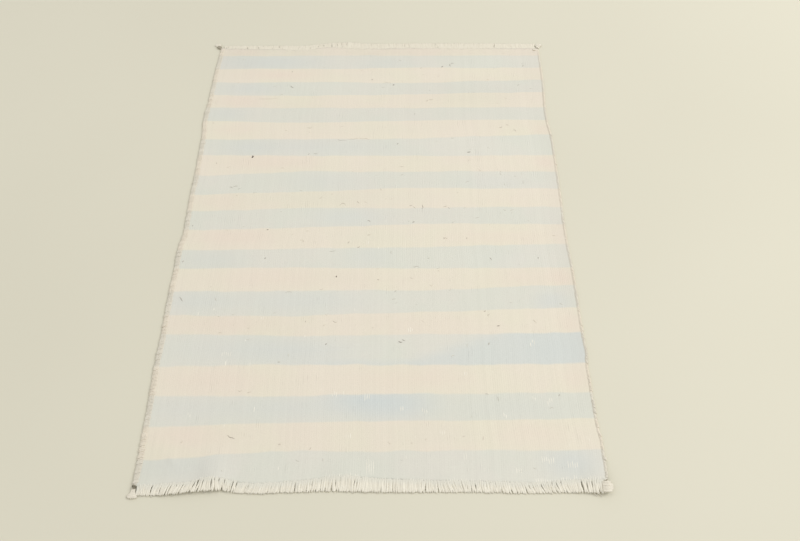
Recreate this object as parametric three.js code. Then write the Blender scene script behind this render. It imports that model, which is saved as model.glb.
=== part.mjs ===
// A flat-woven striped doormat, lying flat: one thin cloth, overcast along both long edges, with its
// cut warp ends as a short fringe at both ends and a thick tail of loose yarn at each corner.
// Millimetres. +X to the right, +Y from the near end to the far end, +Z up.
// Every table below is in the mat's own terms: across is the distance from the left nominal edge,
// and fromFar is the distance from the far nominal end.

import * as THREE from "three";

// Driving dimensions
const nominalWidth = 683;
const nominalLength = 997.5;
const clothThickness = 2.4;
const seam = 0.3;
const strandsPerEnd = 132;
const tipLift = 0.05;

const selvedge = { width: 8, coarseStep: 17, fineStep: 10, fineFrom: 905, last: 971 };
const backing = { depth: 4, cornerMargin: 3.5 };
const strand = { rootWidth: 2.7, middleWidth: 2.1, tipWidth: 1.5, middleHeight: 1.7, tipHeight: 1.1 };
const lock = { middleWidth: 2.5, tipWidth: 1.5, middleHeight: 2.6, tipHeight: 1.5, middle: 0.55 };

// How far each long edge bows outward from its nominal line
const longEdges = [
  { fromFar: -10, left: -5, right: -5 },
  { fromFar: 30, left: -4, right: -5 },
  { fromFar: 60, left: -2, right: -5 },
  { fromFar: 115, left: -0.5, right: -5 },
  { fromFar: 145, left: 0.2, right: -6.5 },
  { fromFar: 170, left: 0.5, right: -7.5 },
  { fromFar: 200, left: 3, right: -8.5 },
  { fromFar: 235, left: 3, right: -7.3 },
  { fromFar: 265, left: 0.5, right: -4.5 },
  { fromFar: 315, left: 0, right: -3.5 },
  { fromFar: 365, left: -0.5, right: -3.5 },
  { fromFar: 440, left: 1, right: -3.5 },
  { fromFar: 485, left: 0, right: -4.5 },
  { fromFar: 523, left: 0.5, right: -4 },
  { fromFar: 545, left: 4, right: -3.5 },
  { fromFar: 600, left: 4, right: -1.2 },
  { fromFar: 640, left: 5, right: -0.8 },
  { fromFar: 690, left: 5, right: -0.5 },
  { fromFar: 735, left: 4.5, right: 0 },
  { fromFar: 765, left: 5, right: 1.5 },
  { fromFar: 790, left: 5.5, right: -0.5 },
  { fromFar: 820, left: 5, right: 0 },
  { fromFar: 865, left: 4, right: 0.5 },
  { fromFar: 905, left: 4, right: 2.3 },
  { fromFar: 926, left: 3.8, right: 4.3 },
  { fromFar: 980, left: 3.5, right: 3.5 },
  { fromFar: 1010, left: 5, right: 3.5 },
];

// The far end: where the strands leave the cloth, where they are cut, and how far they lean right
const farEnd = [
  { across: 0, root: 2, tip: -8, lean: -2 },
  { across: 40, root: 3, tip: -8, lean: -3 },
  { across: 120, root: 5, tip: -9, lean: 1 },
  { across: 190, root: 4.5, tip: -9.5, lean: 2 },
  { across: 208, root: -2, tip: -13, lean: 0 },
  { across: 230, root: -4, tip: -16, lean: -3 },
  { across: 254, root: -3, tip: -19, lean: -2 },
  { across: 275, root: 0, tip: -20, lean: 2 },
  { across: 302, root: 1, tip: -17, lean: 3 },
  { across: 340, root: 1, tip: -15.5, lean: 0 },
  { across: 450, root: 0, tip: -17, lean: -3 },
  { across: 560, root: 0, tip: -16.5, lean: 3 },
  { across: 640, root: 1, tip: -15.5, lean: -2 },
  { across: 683, root: 1, tip: -15, lean: 1 },
];

// The near end, in the same columns
const nearEnd = [
  { across: 0, root: 998, tip: 1010, lean: 0 },
  { across: 15, root: 997.5, tip: 1010, lean: -0.5 },
  { across: 50, root: 993, tip: 1009, lean: -5 },
  { across: 70, root: 991.5, tip: 1007, lean: -5 },
  { across: 87, root: 988, tip: 1005, lean: -4 },
  { across: 102, root: 986, tip: 1003, lean: -3 },
  { across: 122, root: 986.5, tip: 1001.5, lean: 0 },
  { across: 140, root: 989.5, tip: 1004, lean: -2 },
  { across: 165, root: 992.5, tip: 1006.5, lean: -5 },
  { across: 190, root: 992.5, tip: 1006.7, lean: -4 },
  { across: 222, root: 990, tip: 1005.5, lean: -2 },
  { across: 265, root: 986, tip: 1003.5, lean: -2 },
  { across: 302, root: 982.5, tip: 1003.5, lean: -1 },
  { across: 330, root: 984, tip: 1004.5, lean: -3 },
  { across: 375, root: 987, tip: 1005, lean: 1 },
  { across: 420, root: 988, tip: 1005.5, lean: -2 },
  { across: 455, root: 989, tip: 1006, lean: 6 },
  { across: 490, root: 989, tip: 1006.8, lean: 2 },
  { across: 540, root: 991.5, tip: 1007, lean: 4 },
  { across: 583, root: 992, tip: 1006.8, lean: 5 },
  { across: 620, root: 989, tip: 1006.4, lean: 5 },
  { across: 650, root: 988.5, tip: 1005.5, lean: 2 },
  { across: 683, root: 991, tip: 1005.5, lean: 1 },
];

// Where the cloth's near end ripples up off the surface: the middle of the ripple, half its width,
// how far it reaches into the cloth, and its height
const ripples = [
  { name: "left corner", across: 8, halfWidth: 30, reach: 34, height: 1.4 },
  { name: "main ripple", across: 113, halfWidth: 36, reach: 62, height: 4.8 },
  { name: "middle ripple", across: 304, halfWidth: 44, reach: 42, height: 2.6 },
  { name: "small ripple", across: 462, halfWidth: 34, reach: 26, height: 1.2 },
  { name: "right corner", across: 682, halfWidth: 44, reach: 52, height: 4.6 },
];

// The overcast edge, cut across: distance in from the outer edge, and height. The outer cord is the
// tall round part, and a lower row of stitches lies inside it.
const selvedgeSection = [
  { inward: 0.9, height: 0 },
  { inward: 0, height: 1.3 },
  { inward: 0.5, height: 3.1 },
  { inward: 2.3, height: 4.0 },
  { inward: 4.4, height: 3.4 },
  { inward: 6.6, height: 3.2 },
  { inward: 8, height: 2.4 },
  { inward: 8, height: 0 },
];

// The tails at the corners. The neck meets the selvedge's end and widens to the root line of the
// locks, which fan between two headings, in degrees clockwise from the far end as seen from above.
const cornerTails = [
  {
    name: "corner_tail_near_left",
    end: "near",
    neck: { across: 1, width: 4.4 },
    roots: { across: -1, fromFar: 1003.2, width: 10.5, turn: 14 },
    locks: { count: 4, firstHeading: 218, lastHeading: 176, length: 10.5 },
  },
  {
    name: "corner_tail_near_right",
    end: "near",
    neck: { across: 683, width: 4.4 },
    roots: { across: 685.5, fromFar: 993.8, width: 10.5, turn: -20 },
    locks: { count: 4, firstHeading: 184, lastHeading: 146, length: 10.5 },
  },
  {
    name: "corner_tail_far_left",
    end: "far",
    neck: { across: 7.5, width: 4.2 },
    roots: { across: 1.5, fromFar: -7.2, width: 10.5, turn: 24 },
    locks: { count: 4, firstHeading: -48, lastHeading: -4, length: 9 },
  },
  {
    name: "corner_tail_far_right",
    end: "far",
    neck: { across: 675, width: 4.2 },
    roots: { across: 677.5, fromFar: -5.4, width: 10.5, turn: -10 },
    locks: { count: 4, firstHeading: -12, lastHeading: 36, length: 9.5 },
  },
];

// Where each selvedge stops short of the nominal end at its two corners
const selvedgeEnds = {
  left: { far: 0.5, near: 995 },
  right: { far: 4.5, near: 988.5 },
};

const colours = {
  woven_cloth: 0xdedccd,
  selvedge: 0xd8cdb9,
  fringe: 0xe8e3d3,
  tail: 0xeae5d6,
};

// One smooth curve through a column of a table
function curveThrough(table, places, values) {
  const stations = table.map((row) => row[places]);
  const curve = new THREE.CubicInterpolant(stations, table.map((row) => row[values]), 1);
  const first = stations[0];
  const last = stations[stations.length - 1];
  return (at) => curve.evaluate(THREE.MathUtils.clamp(at, first, last))[0];
}

const bow = {
  left: curveThrough(longEdges, "fromFar", "left"),
  right: curveThrough(longEdges, "fromFar", "right"),
};
const ends = {
  far: { table: farEnd, outward: -1 },
  near: { table: nearEnd, outward: 1 },
};
for (const end of Object.values(ends)) {
  end.root = curveThrough(end.table, "across", "root");
  end.tip = curveThrough(end.table, "across", "tip");
  end.lean = curveThrough(end.table, "across", "lean");
}

// The outer edge of a selvedge, and the edge of the cloth beside it
const outerEdge = {
  left: (fromFar) => -bow.left(fromFar),
  right: (fromFar) => nominalWidth + bow.right(fromFar),
};
const clothEdge = {
  left: (fromFar) => outerEdge.left(fromFar) + selvedge.width + seam,
  right: (fromFar) => outerEdge.right(fromFar) - selvedge.width - seam,
};

// How far the cloth's underside lies above the surface
function lift(across, fromFar) {
  let height = 0;
  for (const ripple of ripples) {
    const aside = Math.abs(across - ripple.across) / ripple.halfWidth;
    const inward = (ends.near.root(across) - fromFar) / ripple.reach;
    if (aside < 1 && inward < 1) {
      const crest = Math.cos((aside * Math.PI) / 2) ** 2;
      const fade = Math.cos((Math.max(inward, 0) * Math.PI) / 2) ** 2;
      height += ripple.height * crest * fade;
    }
  }
  return height;
}

// A closed body in the making, from points in the mat's terms
class Body {
  constructor() {
    this.places = [];
    this.faces = [];
  }

  point(across, fromFar, height) {
    this.places.push(across - nominalWidth / 2, nominalLength / 2 - fromFar, height);
    return this.places.length / 3 - 1;
  }

  // Faces between two rows of points that run the same way, whatever the number in each
  strip(first, second) {
    let a = 0;
    let b = 0;
    while (a < first.length - 1 || b < second.length - 1) {
      const nextA = (a + 1) / (first.length - 1 || 1);
      const nextB = (b + 1) / (second.length - 1 || 1);
      const stepFirst = b === second.length - 1 || (a < first.length - 1 && nextA <= nextB);
      if (stepFirst) {
        this.faces.push(first[a], first[a + 1], second[b]);
        a += 1;
      } else {
        this.faces.push(first[a], second[b + 1], second[b]);
        b += 1;
      }
    }
  }

  // Faces between two closed rings of points
  sleeve(first, second) {
    this.strip([...first, first[0]], [...second, second[0]]);
  }

  // One flat end on a ring of points
  cap(ring) {
    for (let corner = 1; corner < ring.length - 1; corner += 1) {
      this.faces.push(ring[0], ring[corner], ring[corner + 1]);
    }
  }

  volume() {
    const [a, b, c] = [new THREE.Vector3(), new THREE.Vector3(), new THREE.Vector3()];
    let total = 0;
    for (let face = 0; face < this.faces.length; face += 3) {
      a.fromArray(this.places, 3 * this.faces[face]);
      b.fromArray(this.places, 3 * this.faces[face + 1]);
      c.fromArray(this.places, 3 * this.faces[face + 2]);
      total += a.dot(b.cross(c)) / 6;
    }
    return total;
  }

  mesh(name, colour) {
    const outward = this.volume() > 0;
    const geometry = new THREE.BufferGeometry();
    geometry.setAttribute("position", new THREE.Float32BufferAttribute(this.places, 3));
    geometry.setIndex(outward ? this.faces : [...this.faces].reverse());
    geometry.computeVertexNormals();
    const material = new THREE.MeshStandardMaterial({ color: colour, roughness: 0.95, metalness: 0 });
    const mesh = new THREE.Mesh(geometry, material);
    mesh.name = name;
    return mesh;
  }
}

function evenSteps(first, last, step) {
  const count = Math.round((last - first) / step);
  return Array.from({ length: count + 1 }, (_, index) => first + ((last - first) * index) / count);
}

// Distances from the far end that the selvedges and the cloth's long edges share
const coarseStations = evenSteps(selvedge.coarseStep, selvedge.fineFrom, selvedge.coarseStep);
const fineStations = evenSteps(selvedge.fineFrom, selvedge.last, selvedge.fineStep).slice(1);
const columns = evenSteps(0, 1, 1 / 54);

// A row of places across the cloth, level with one distance from the far end
function levelRow(fromFar, shares) {
  const left = clothEdge.left(fromFar);
  const right = clothEdge.right(fromFar);
  return shares.map((share) => ({ across: THREE.MathUtils.lerp(left, right, share), fromFar }));
}

// A row of places across the cloth that follows an end's root line, some way inside it
function endRow(end, inside) {
  const level = levelRow(end.root(nominalWidth / 2), columns);
  return level.map(({ across: roughly }, index) => {
    const fromFar = end.root(roughly) - end.outward * inside;
    const left = clothEdge.left(fromFar);
    const right = clothEdge.right(fromFar);
    return { across: THREE.MathUtils.lerp(left, right, columns[index]), fromFar };
  });
}

function wovenCloth() {
  const body = new Body();
  const inside = backing.depth + seam;
  const [firstStation, ...flatStations] = coarseStations.slice(0, -1);
  const rows = [
    endRow(ends.far, inside),
    levelRow(firstStation, columns),
    ...flatStations.map((fromFar) => levelRow(fromFar, [0, 1])),
    ...[selvedge.fineFrom, ...fineStations].map((fromFar) => levelRow(fromFar, columns)),
    endRow(ends.near, inside),
  ];
  const under = rows.map((row) =>
    row.map(({ across, fromFar }) => body.point(across, fromFar, lift(across, fromFar))),
  );
  const over = rows.map((row) =>
    row.map(({ across, fromFar }) =>
      body.point(across, fromFar, lift(across, fromFar) + clothThickness),
    ),
  );
  const around = [...over, ...under.toReversed(), over[0]];
  for (let row = 0; row < around.length - 1; row += 1) {
    body.strip(around[row], around[row + 1]);
  }
  const side = (level, at) => level.map((row) => row.at(at));
  body.strip(side(over, 0), side(under, 0));
  body.strip(side(under, -1), side(over, -1));
  return body.mesh("woven_cloth", colours.woven_cloth);
}

// The overcast edge swells and thins a little along its length
function overcastEdge(side) {
  const body = new Body();
  const stop = selvedgeEnds[side];
  const inward = side === "left" ? 1 : -1;
  const between = [...coarseStations, ...fineStations].filter((fromFar) => fromFar < stop.near);
  const stations = [stop.far, ...between, stop.near - 6, stop.near];
  const rings = stations.map((fromFar, index) => {
    const closing = index === 0 || index === stations.length - 1 ? 0.82 : 1;
    const swell = closing * (1 + 0.06 * Math.sin(2.4 * index) * Math.cos(0.9 * index));
    const outer = outerEdge[side](fromFar);
    const base = lift(outer + inward * selvedge.width * 0.5, fromFar);
    return selvedgeSection.map((corner) => {
      const height = corner.height > clothThickness ? corner.height * swell : corner.height;
      return body.point(outer + inward * corner.inward, fromFar, base + height);
    });
  });
  body.cap(rings[0].toReversed());
  for (let ring = 0; ring < rings.length - 1; ring += 1) {
    body.sleeve(rings[ring], rings[ring + 1]);
  }
  body.cap(rings[rings.length - 1]);
  return body.mesh(`selvedge_${side}`, colours.selvedge);
}

// A backing with separate strands fused to its front. back and front are rows of places, and every
// second span of the front is a strand's root. Each strand is a list of sections, root left out,
// with the middle of its underside, its width and height, and the direction to its right.
function comb(body, back, front, thickness, strands) {
  const raise = (row, extra) =>
    row.map(({ across, fromFar }) => body.point(across, fromFar, lift(across, fromFar) + extra));
  const backUnder = raise(back, 0);
  const backOver = raise(back, thickness);
  const frontUnder = raise(front, 0);
  const frontOver = raise(front, thickness);
  body.strip(backUnder, backOver);
  body.strip(backOver, frontOver);
  body.strip(frontUnder, backUnder);
  body.strip([backOver[0], frontOver[0]], [backUnder[0], frontUnder[0]]);
  body.strip([backUnder.at(-1), frontUnder.at(-1)], [backOver.at(-1), frontOver.at(-1)]);
  for (let span = 0; span < front.length - 1; span += 1) {
    const root = [frontOver[span], frontOver[span + 1], frontUnder[span + 1], frontUnder[span]];
    const sections = span % 2 === 1 ? strands[(span - 1) / 2] : [];
    let ring = root;
    for (const section of sections) {
      const { centre, right, width, height, base } = section;
      const corner = (aside, up) =>
        body.point(
          centre.across + (right.across * aside * width) / 2,
          centre.fromFar + (right.fromFar * aside * width) / 2,
          base + up * height,
        );
      const next = [corner(-1, 1), corner(1, 1), corner(1, 0), corner(-1, 0)];
      body.sleeve(ring, next);
      ring = next;
    }
    body.cap(ring);
  }
}

function cutFringe(name, end, seed) {
  THREE.MathUtils.seededRandom(seed);
  const jitter = (size) => (THREE.MathUtils.seededRandom() - 0.5) * 2 * size;
  const back = endRow(end, backing.depth);
  const roots = endRow(end, 0);
  const first = roots[0].across + backing.cornerMargin;
  const last = roots.at(-1).across - backing.cornerMargin;
  const pitch = (last - first) / strandsPerEnd;
  const front = [roots[0]];
  const strands = [];
  for (let index = 0; index < strandsPerEnd; index += 1) {
    const across = first + (index + 0.5) * pitch + jitter(0.4);
    for (const aside of [-0.5, 0.5]) {
      const at = across + aside * strand.rootWidth;
      front.push({ across: at, fromFar: end.root(at) });
    }
    const root = end.root(across);
    const reach = end.tip(across) - root + jitter(1.6);
    const lean = end.lean(across) + jitter(0.6);
    const base = lift(across, root);
    const section = (share, width, height, raised) => ({
      centre: { across: across + lean * share ** 1.3, fromFar: root + reach * share },
      right: { across: 1, fromFar: 0 },
      width,
      height,
      base: raised,
    });
    strands.push([
      section(0.5, strand.middleWidth, strand.middleHeight, base * 0.45 + tipLift),
      section(1, strand.tipWidth, strand.tipHeight, 0),
    ]);
  }
  front.push(roots.at(-1));
  const body = new Body();
  comb(body, back, front, clothThickness, strands);
  return body.mesh(name, colours.fringe);
}

function cornerTail({ name, end, neck, roots, locks }) {
  const side = neck.across < nominalWidth / 2 ? "left" : "right";
  const outward = ends[end].outward;
  const neckAt = selvedgeEnds[side][end] + outward * seam;
  const back = [-0.5, 0.5].map((share) => ({
    across: neck.across + share * neck.width,
    fromFar: neckAt,
  }));
  const turned = THREE.MathUtils.degToRad(roots.turn);
  const along = { across: Math.cos(turned), fromFar: Math.sin(turned) };
  const pitch = roots.width / locks.count;
  const frontPlace = (distance) => ({
    across: roots.across + along.across * distance,
    fromFar: roots.fromFar + along.fromFar * distance,
  });
  const front = [frontPlace(-roots.width / 2)];
  const strands = [];
  for (let index = 0; index < locks.count; index += 1) {
    const middle = (index + 0.5 - locks.count / 2) * pitch;
    front.push(frontPlace(middle - 0.4 * pitch), frontPlace(middle + 0.4 * pitch));
    const share = index / (locks.count - 1);
    const heading = THREE.MathUtils.lerp(locks.firstHeading, locks.lastHeading, share);
    const angle = THREE.MathUtils.degToRad(heading);
    const ahead = { across: Math.sin(angle), fromFar: -Math.cos(angle) };
    const right = { across: outward * ahead.fromFar, fromFar: -outward * ahead.across };
    const reach = locks.length * (1 - 0.12 * (index % 2));
    const root = frontPlace(middle);
    const base = lift(root.across, root.fromFar);
    const section = (part, width, height, raised) => ({
      centre: {
        across: root.across + ahead.across * reach * part,
        fromFar: root.fromFar + ahead.fromFar * reach * part,
      },
      right,
      width,
      height,
      base: raised,
    });
    strands.push([
      section(lock.middle, lock.middleWidth, lock.middleHeight, base * 0.4 + tipLift),
      section(1, lock.tipWidth, lock.tipHeight, 0),
    ]);
  }
  front.push(frontPlace(roots.width / 2));
  const body = new Body();
  comb(body, back, front, clothThickness + 1.2, strands);
  return body.mesh(name, colours.tail);
}

const mat = new THREE.Group();
mat.add(
  wovenCloth(),
  overcastEdge("left"),
  overcastEdge("right"),
  cutFringe("fringe_near", ends.near, 11),
  cutFringe("fringe_far", ends.far, 23),
  ...cornerTails.map(cornerTail),
);

// The origin is the middle of the mat's outline, on the surface that it lies on
const outline = new THREE.Box3().setFromObject(mat);
const middle = outline.getCenter(new THREE.Vector3());
mat.position.set(-middle.x, -middle.y, -outline.min.z);

export default mat;
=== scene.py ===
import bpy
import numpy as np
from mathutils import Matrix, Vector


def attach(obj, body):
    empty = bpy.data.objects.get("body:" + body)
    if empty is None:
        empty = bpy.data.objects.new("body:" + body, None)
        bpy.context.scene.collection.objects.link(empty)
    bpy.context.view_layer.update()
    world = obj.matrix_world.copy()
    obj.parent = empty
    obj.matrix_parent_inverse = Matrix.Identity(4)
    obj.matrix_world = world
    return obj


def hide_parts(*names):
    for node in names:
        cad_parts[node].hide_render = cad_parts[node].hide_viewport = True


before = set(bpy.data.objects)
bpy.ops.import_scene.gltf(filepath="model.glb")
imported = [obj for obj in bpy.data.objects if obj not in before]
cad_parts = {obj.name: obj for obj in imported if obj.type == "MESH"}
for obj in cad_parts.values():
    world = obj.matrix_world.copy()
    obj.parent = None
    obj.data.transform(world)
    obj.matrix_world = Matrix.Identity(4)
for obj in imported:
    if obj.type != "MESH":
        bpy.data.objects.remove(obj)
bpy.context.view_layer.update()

# The looks of a flat-woven striped doormat: ribbed cloth, whipped long edges, plied fringe strands and
# thick yarn tails. Tables are in the mat's own terms, in millimetres: across runs from the left nominal
# edge to the right, and from_far runs from the far nominal end to the near one.

MM = 0.001
rng = np.random.default_rng(41)

NOMINAL_WIDTH = 683.0
CLOTH_THICKNESS = 2.4
ORIGIN_ACROSS = NOMINAL_WIDTH / 2 + 0.056
ORIGIN_FROM_FAR = 498.75 - 2.017


def table(names, rows):
    """A table's columns by name, as arrays."""
    return dict(zip(names.split(), np.array(rows, float).T))


LONG_EDGES = table("from_far left right", [
    (-10, -5, -5), (30, -4, -5), (60, -2, -5), (115, -0.5, -5), (145, 0.2, -6.5), (170, 0.5, -7.5),
    (200, 3, -8.5), (235, 3, -7.3), (265, 0.5, -4.5), (315, 0, -3.5), (365, -0.5, -3.5), (440, 1, -3.5),
    (485, 0, -4.5), (523, 0.5, -4), (545, 4, -3.5), (600, 4, -1.2), (640, 5, -0.8), (690, 5, -0.5),
    (735, 4.5, 0), (765, 5, 1.5), (790, 5.5, -0.5), (820, 5, 0), (865, 4, 0.5), (905, 4, 2.3),
    (926, 3.8, 4.3), (980, 3.5, 3.5), (1010, 5, 3.5),
])
FAR_END = table("across root tip lean", [
    (0, 2, -8, -2), (40, 3, -8, -3), (120, 5, -9, 1), (190, 4.5, -9.5, 2), (208, -2, -13, 0),
    (230, -4, -16, -3), (254, -3, -19, -2), (275, 0, -20, 2), (302, 1, -17, 3), (340, 1, -15.5, 0),
    (450, 0, -17, -3), (560, 0, -16.5, 3), (640, 1, -15.5, -2), (683, 1, -15, 1),
])
NEAR_END = table("across root tip lean", [
    (0, 998, 1010, 0), (15, 997.5, 1010, -0.5), (50, 993, 1009, -5), (70, 991.5, 1007, -5),
    (87, 988, 1005, -4), (102, 986, 1003, -3), (122, 986.5, 1001.5, 0), (140, 989.5, 1004, -2),
    (165, 992.5, 1006.5, -5), (190, 992.5, 1006.7, -4), (222, 990, 1005.5, -2), (265, 986, 1003.5, -2),
    (302, 982.5, 1003.5, -1), (330, 984, 1004.5, -3), (375, 987, 1005, 1), (420, 988, 1005.5, -2),
    (455, 989, 1006, 6), (490, 989, 1006.8, 2), (540, 991.5, 1007, 4), (583, 992, 1006.8, 5),
    (620, 989, 1006.4, 5), (650, 988.5, 1005.5, 2), (683, 991, 1005.5, 1),
])
RIPPLES = table("across half_width reach height", [
    (8, 30, 34, 1.4), (113, 36, 62, 4.8), (304, 44, 42, 2.6), (462, 34, 26, 1.2), (682, 44, 52, 4.6),
])

# The lines between the weft stripes, from the far end, where they cross four lines along the mat
BOUNDARY_SHARES = (0.04, 0.3, 0.6, 0.97)
BOUNDARIES = np.array([
    (27, 25, 25, 25), (68.4, 68.4, 64.5, 64.1), (111.3, 109.9, 112.8, 102.4),
    (149.5, 152.1, 147, 140.1), (186.3, 188.3, 187.9, 185.6), (225.8, 231.5, 224.4, 222),
    (277.3, 277.2, 275.7, 263.9), (321.3, 321.8, 322.9, 321), (373.7, 364, 364.1, 363.6),
    (423, 415.7, 405.9, 407.9), (463.4, 455.8, 456, 452.6), (507.5, 503.7, 493.9, 493.7),
    (555, 551.6, 548.1, 540.8), (595.6, 593.3, 595.6, 593.3), (645.2, 642.9, 642.8, 631.5),
    (694.6, 695.5, 687.7, 678.6), (731.8, 734.7, 732.2, 728.1), (793.4, 789, 790.7, 787.6),
    (847.6, 846.8, 842.6, 840.8), (900.5, 892.8, 890.1, 886.2), (953.9, 940.6, 940.5, 938),
])
STRIPES = len(BOUNDARIES) + 1


def curve_through(places, values):
    """One smooth curve through a table's column, as the solids have it."""
    t = np.concatenate([[2 * places[0] - places[1]], places, [2 * places[-1] - places[-2]]])
    v = np.concatenate([values[1:2], values, values[-2:-1]])

    def curve(at):
        at = np.clip(np.asarray(at, float), places[0], places[-1])
        i = np.clip(np.searchsorted(places, at, side="right"), 1, len(places) - 1)
        p = (at - t[i]) / (t[i + 1] - t[i])
        w0 = 0.5 * (t[i + 1] - t[i]) / (t[i] - t[i - 1])
        w1 = 0.5 * (t[i + 1] - t[i]) / (t[i + 2] - t[i + 1])
        return (
            (-w0 * p**3 + 2 * w0 * p**2 - w0 * p) * v[i - 1]
            + ((1 + w0) * p**3 + (-1.5 - 2 * w0) * p**2 + (-0.5 + w0) * p + 1) * v[i]
            + ((-1 - w1) * p**3 + (1.5 + w1) * p**2 + 0.5 * p) * v[i + 1]
            + (w1 * p**3 - w1 * p**2) * v[i + 2]
        )
    return curve


bow = {side: curve_through(LONG_EDGES["from_far"], LONG_EDGES[side]) for side in ("left", "right")}
ends = {
    name: {key: curve_through(t["across"], t[key]) for key in ("root", "tip", "lean")}
    for name, t in (("far", FAR_END), ("near", NEAR_END))
}
OUTWARD = {"far": -1, "near": 1}


def outer_edge(side, from_far):
    """across of the mat's outer edge."""
    return -bow["left"](from_far) if side == "left" else NOMINAL_WIDTH + bow["right"](from_far)


def smooth_step(x):
    x = np.clip(x, 0, 1)
    return x * x * (3 - 2 * x)


def lift(across, from_far):
    """How far the cloth's underside lies above the floor."""
    across, from_far = np.broadcast_arrays(across, from_far)
    inside = ends["near"]["root"](across) - from_far
    height = np.zeros(across.shape)
    for middle, half_width, reach, top in zip(*RIPPLES.values()):
        aside = np.clip(np.abs(across - middle) / half_width, 0, 1)
        inward = np.clip(inside / reach, 0, 1)
        height += top * np.cos(aside * np.pi / 2) ** 2 * np.cos(inward * np.pi / 2) ** 2
    return height


def place(across, from_far, height):
    """Points in metres in the row frame."""
    across, from_far, height = np.broadcast_arrays(across, from_far, height)
    return np.stack([across - ORIGIN_ACROSS, ORIGIN_FROM_FAR - from_far, height], -1) * MM


# Building meshes

ON_FLOOR = 0.05


def new_piece(name, points, faces, attributes, material):
    """A smooth mesh in the scene, with a number for each of its points in every attribute."""
    mesh = bpy.data.meshes.new(name)
    mesh.from_pydata(np.asarray(points).reshape(-1, 3).tolist(), [], faces)
    mesh.polygons.foreach_set("use_smooth", np.ones(len(mesh.polygons), bool))
    for key, values in attributes.items():
        layer = mesh.attributes.new(key, "FLOAT", "POINT")
        layer.data.foreach_set("value", np.asarray(values, np.float32).ravel())
    mesh.materials.append(material)
    mesh.update()
    piece = bpy.data.objects.new(name, mesh)
    bpy.context.scene.collection.objects.link(piece)
    return piece


def zip_rows(first, second):
    """Triangles between two rows of vertices that run the same way."""
    faces = []
    a = b = 0
    while a < len(first) - 1 or b < len(second) - 1:
        next_a = (a + 1) / max(len(first) - 1, 1)
        next_b = (b + 1) / max(len(second) - 1, 1)
        if b == len(second) - 1 or (a < len(first) - 1 and next_a <= next_b):
            faces.append((first[a], first[a + 1], second[b]))
            a += 1
        else:
            faces.append((first[a], second[b + 1], second[b]))
            b += 1
    return faces


def tube_faces(first, rings, sides):
    """The faces of a closed tube, whose rings of vertices follow one another from the given vertex."""
    last = first + (rings - 1) * sides
    faces = [
        (low + side, low + (side + 1) % sides, low + sides + (side + 1) % sides, low + sides + side)
        for low in range(first, last, sides)
        for side in range(sides)
    ]
    return faces + [tuple(range(first + sides - 1, first - 1, -1)), tuple(range(last, last + sides))]


def yarns(
    paths, radius, tone, sides=8, plies=2, turns_per_mm=0.12, seen_from=(0, 0, 1), squash=(1, 1),
    groove=0.25,
):
    """Tubes of plied yarn along paths, an array of (yarn, step, 3) in millimetres, as points, faces and
    attributes. radius is (yarn, step) and tone one number per yarn. seen_from is never along a path,
    squash scales a yarn square to it and along it, and groove is the depth between plies, as a share."""
    count, steps = paths.shape[:2]
    tangent = np.gradient(paths, axis=1)
    tangent /= np.linalg.norm(tangent, axis=2, keepdims=True)
    across = np.cross(tangent, np.broadcast_to(np.array(seen_from, float), tangent.shape))
    across /= np.linalg.norm(across, axis=2, keepdims=True)
    up = np.cross(across, tangent)
    length = np.concatenate(
        [np.zeros((count, 1)), np.cumsum(np.linalg.norm(np.diff(paths, axis=1), axis=2), axis=1)], axis=1
    )
    twist = 2 * np.pi * turns_per_mm * length + rng.uniform(0, 2 * np.pi, (count, 1))
    angle = np.linspace(0, 2 * np.pi, sides, endpoint=False)
    lobes = np.abs(np.cos((angle - twist[..., None]) * plies / 2))
    reach = radius[..., None] * (1 - groove + groove * lobes)
    points = (
        paths[:, :, None]
        + squash[0] * reach[..., None] * np.cos(angle)[:, None] * across[:, :, None]
        + squash[1] * reach[..., None] * np.sin(angle)[:, None] * up[:, :, None]
    )
    points[..., 2] = np.maximum(points[..., 2], ON_FLOOR)
    faces = []
    for yarn in range(count):
        faces += tube_faces(yarn * steps * sides, steps, sides)
    shape = (count, steps, sides)
    attributes = {
        "tone": np.broadcast_to(np.asarray(tone)[:, None, None], shape),
        "along": np.broadcast_to(length[..., None], shape),
        "around": np.broadcast_to(angle, shape),
    }
    return points.reshape(-1, 3), faces, attributes


def yarn_piece(name, parts, material):
    """One piece from several yarns() results, which are in the mat's own terms."""
    points, faces, attributes, first = [], [], {}, 0
    for part_points, part_faces, part_attributes in parts:
        points.append(part_points)
        faces += [tuple(corner + first for corner in face) for face in part_faces]
        for key, values in part_attributes.items():
            attributes.setdefault(key, []).append(np.ravel(values))
        first += len(part_points)
    attributes = {key: np.concatenate(values) for key, values in attributes.items()}
    return new_piece(name, place(*np.concatenate(points).T), faces, attributes, material)


# Materials

SHEEN_ROUGHNESS = 0.6


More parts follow.
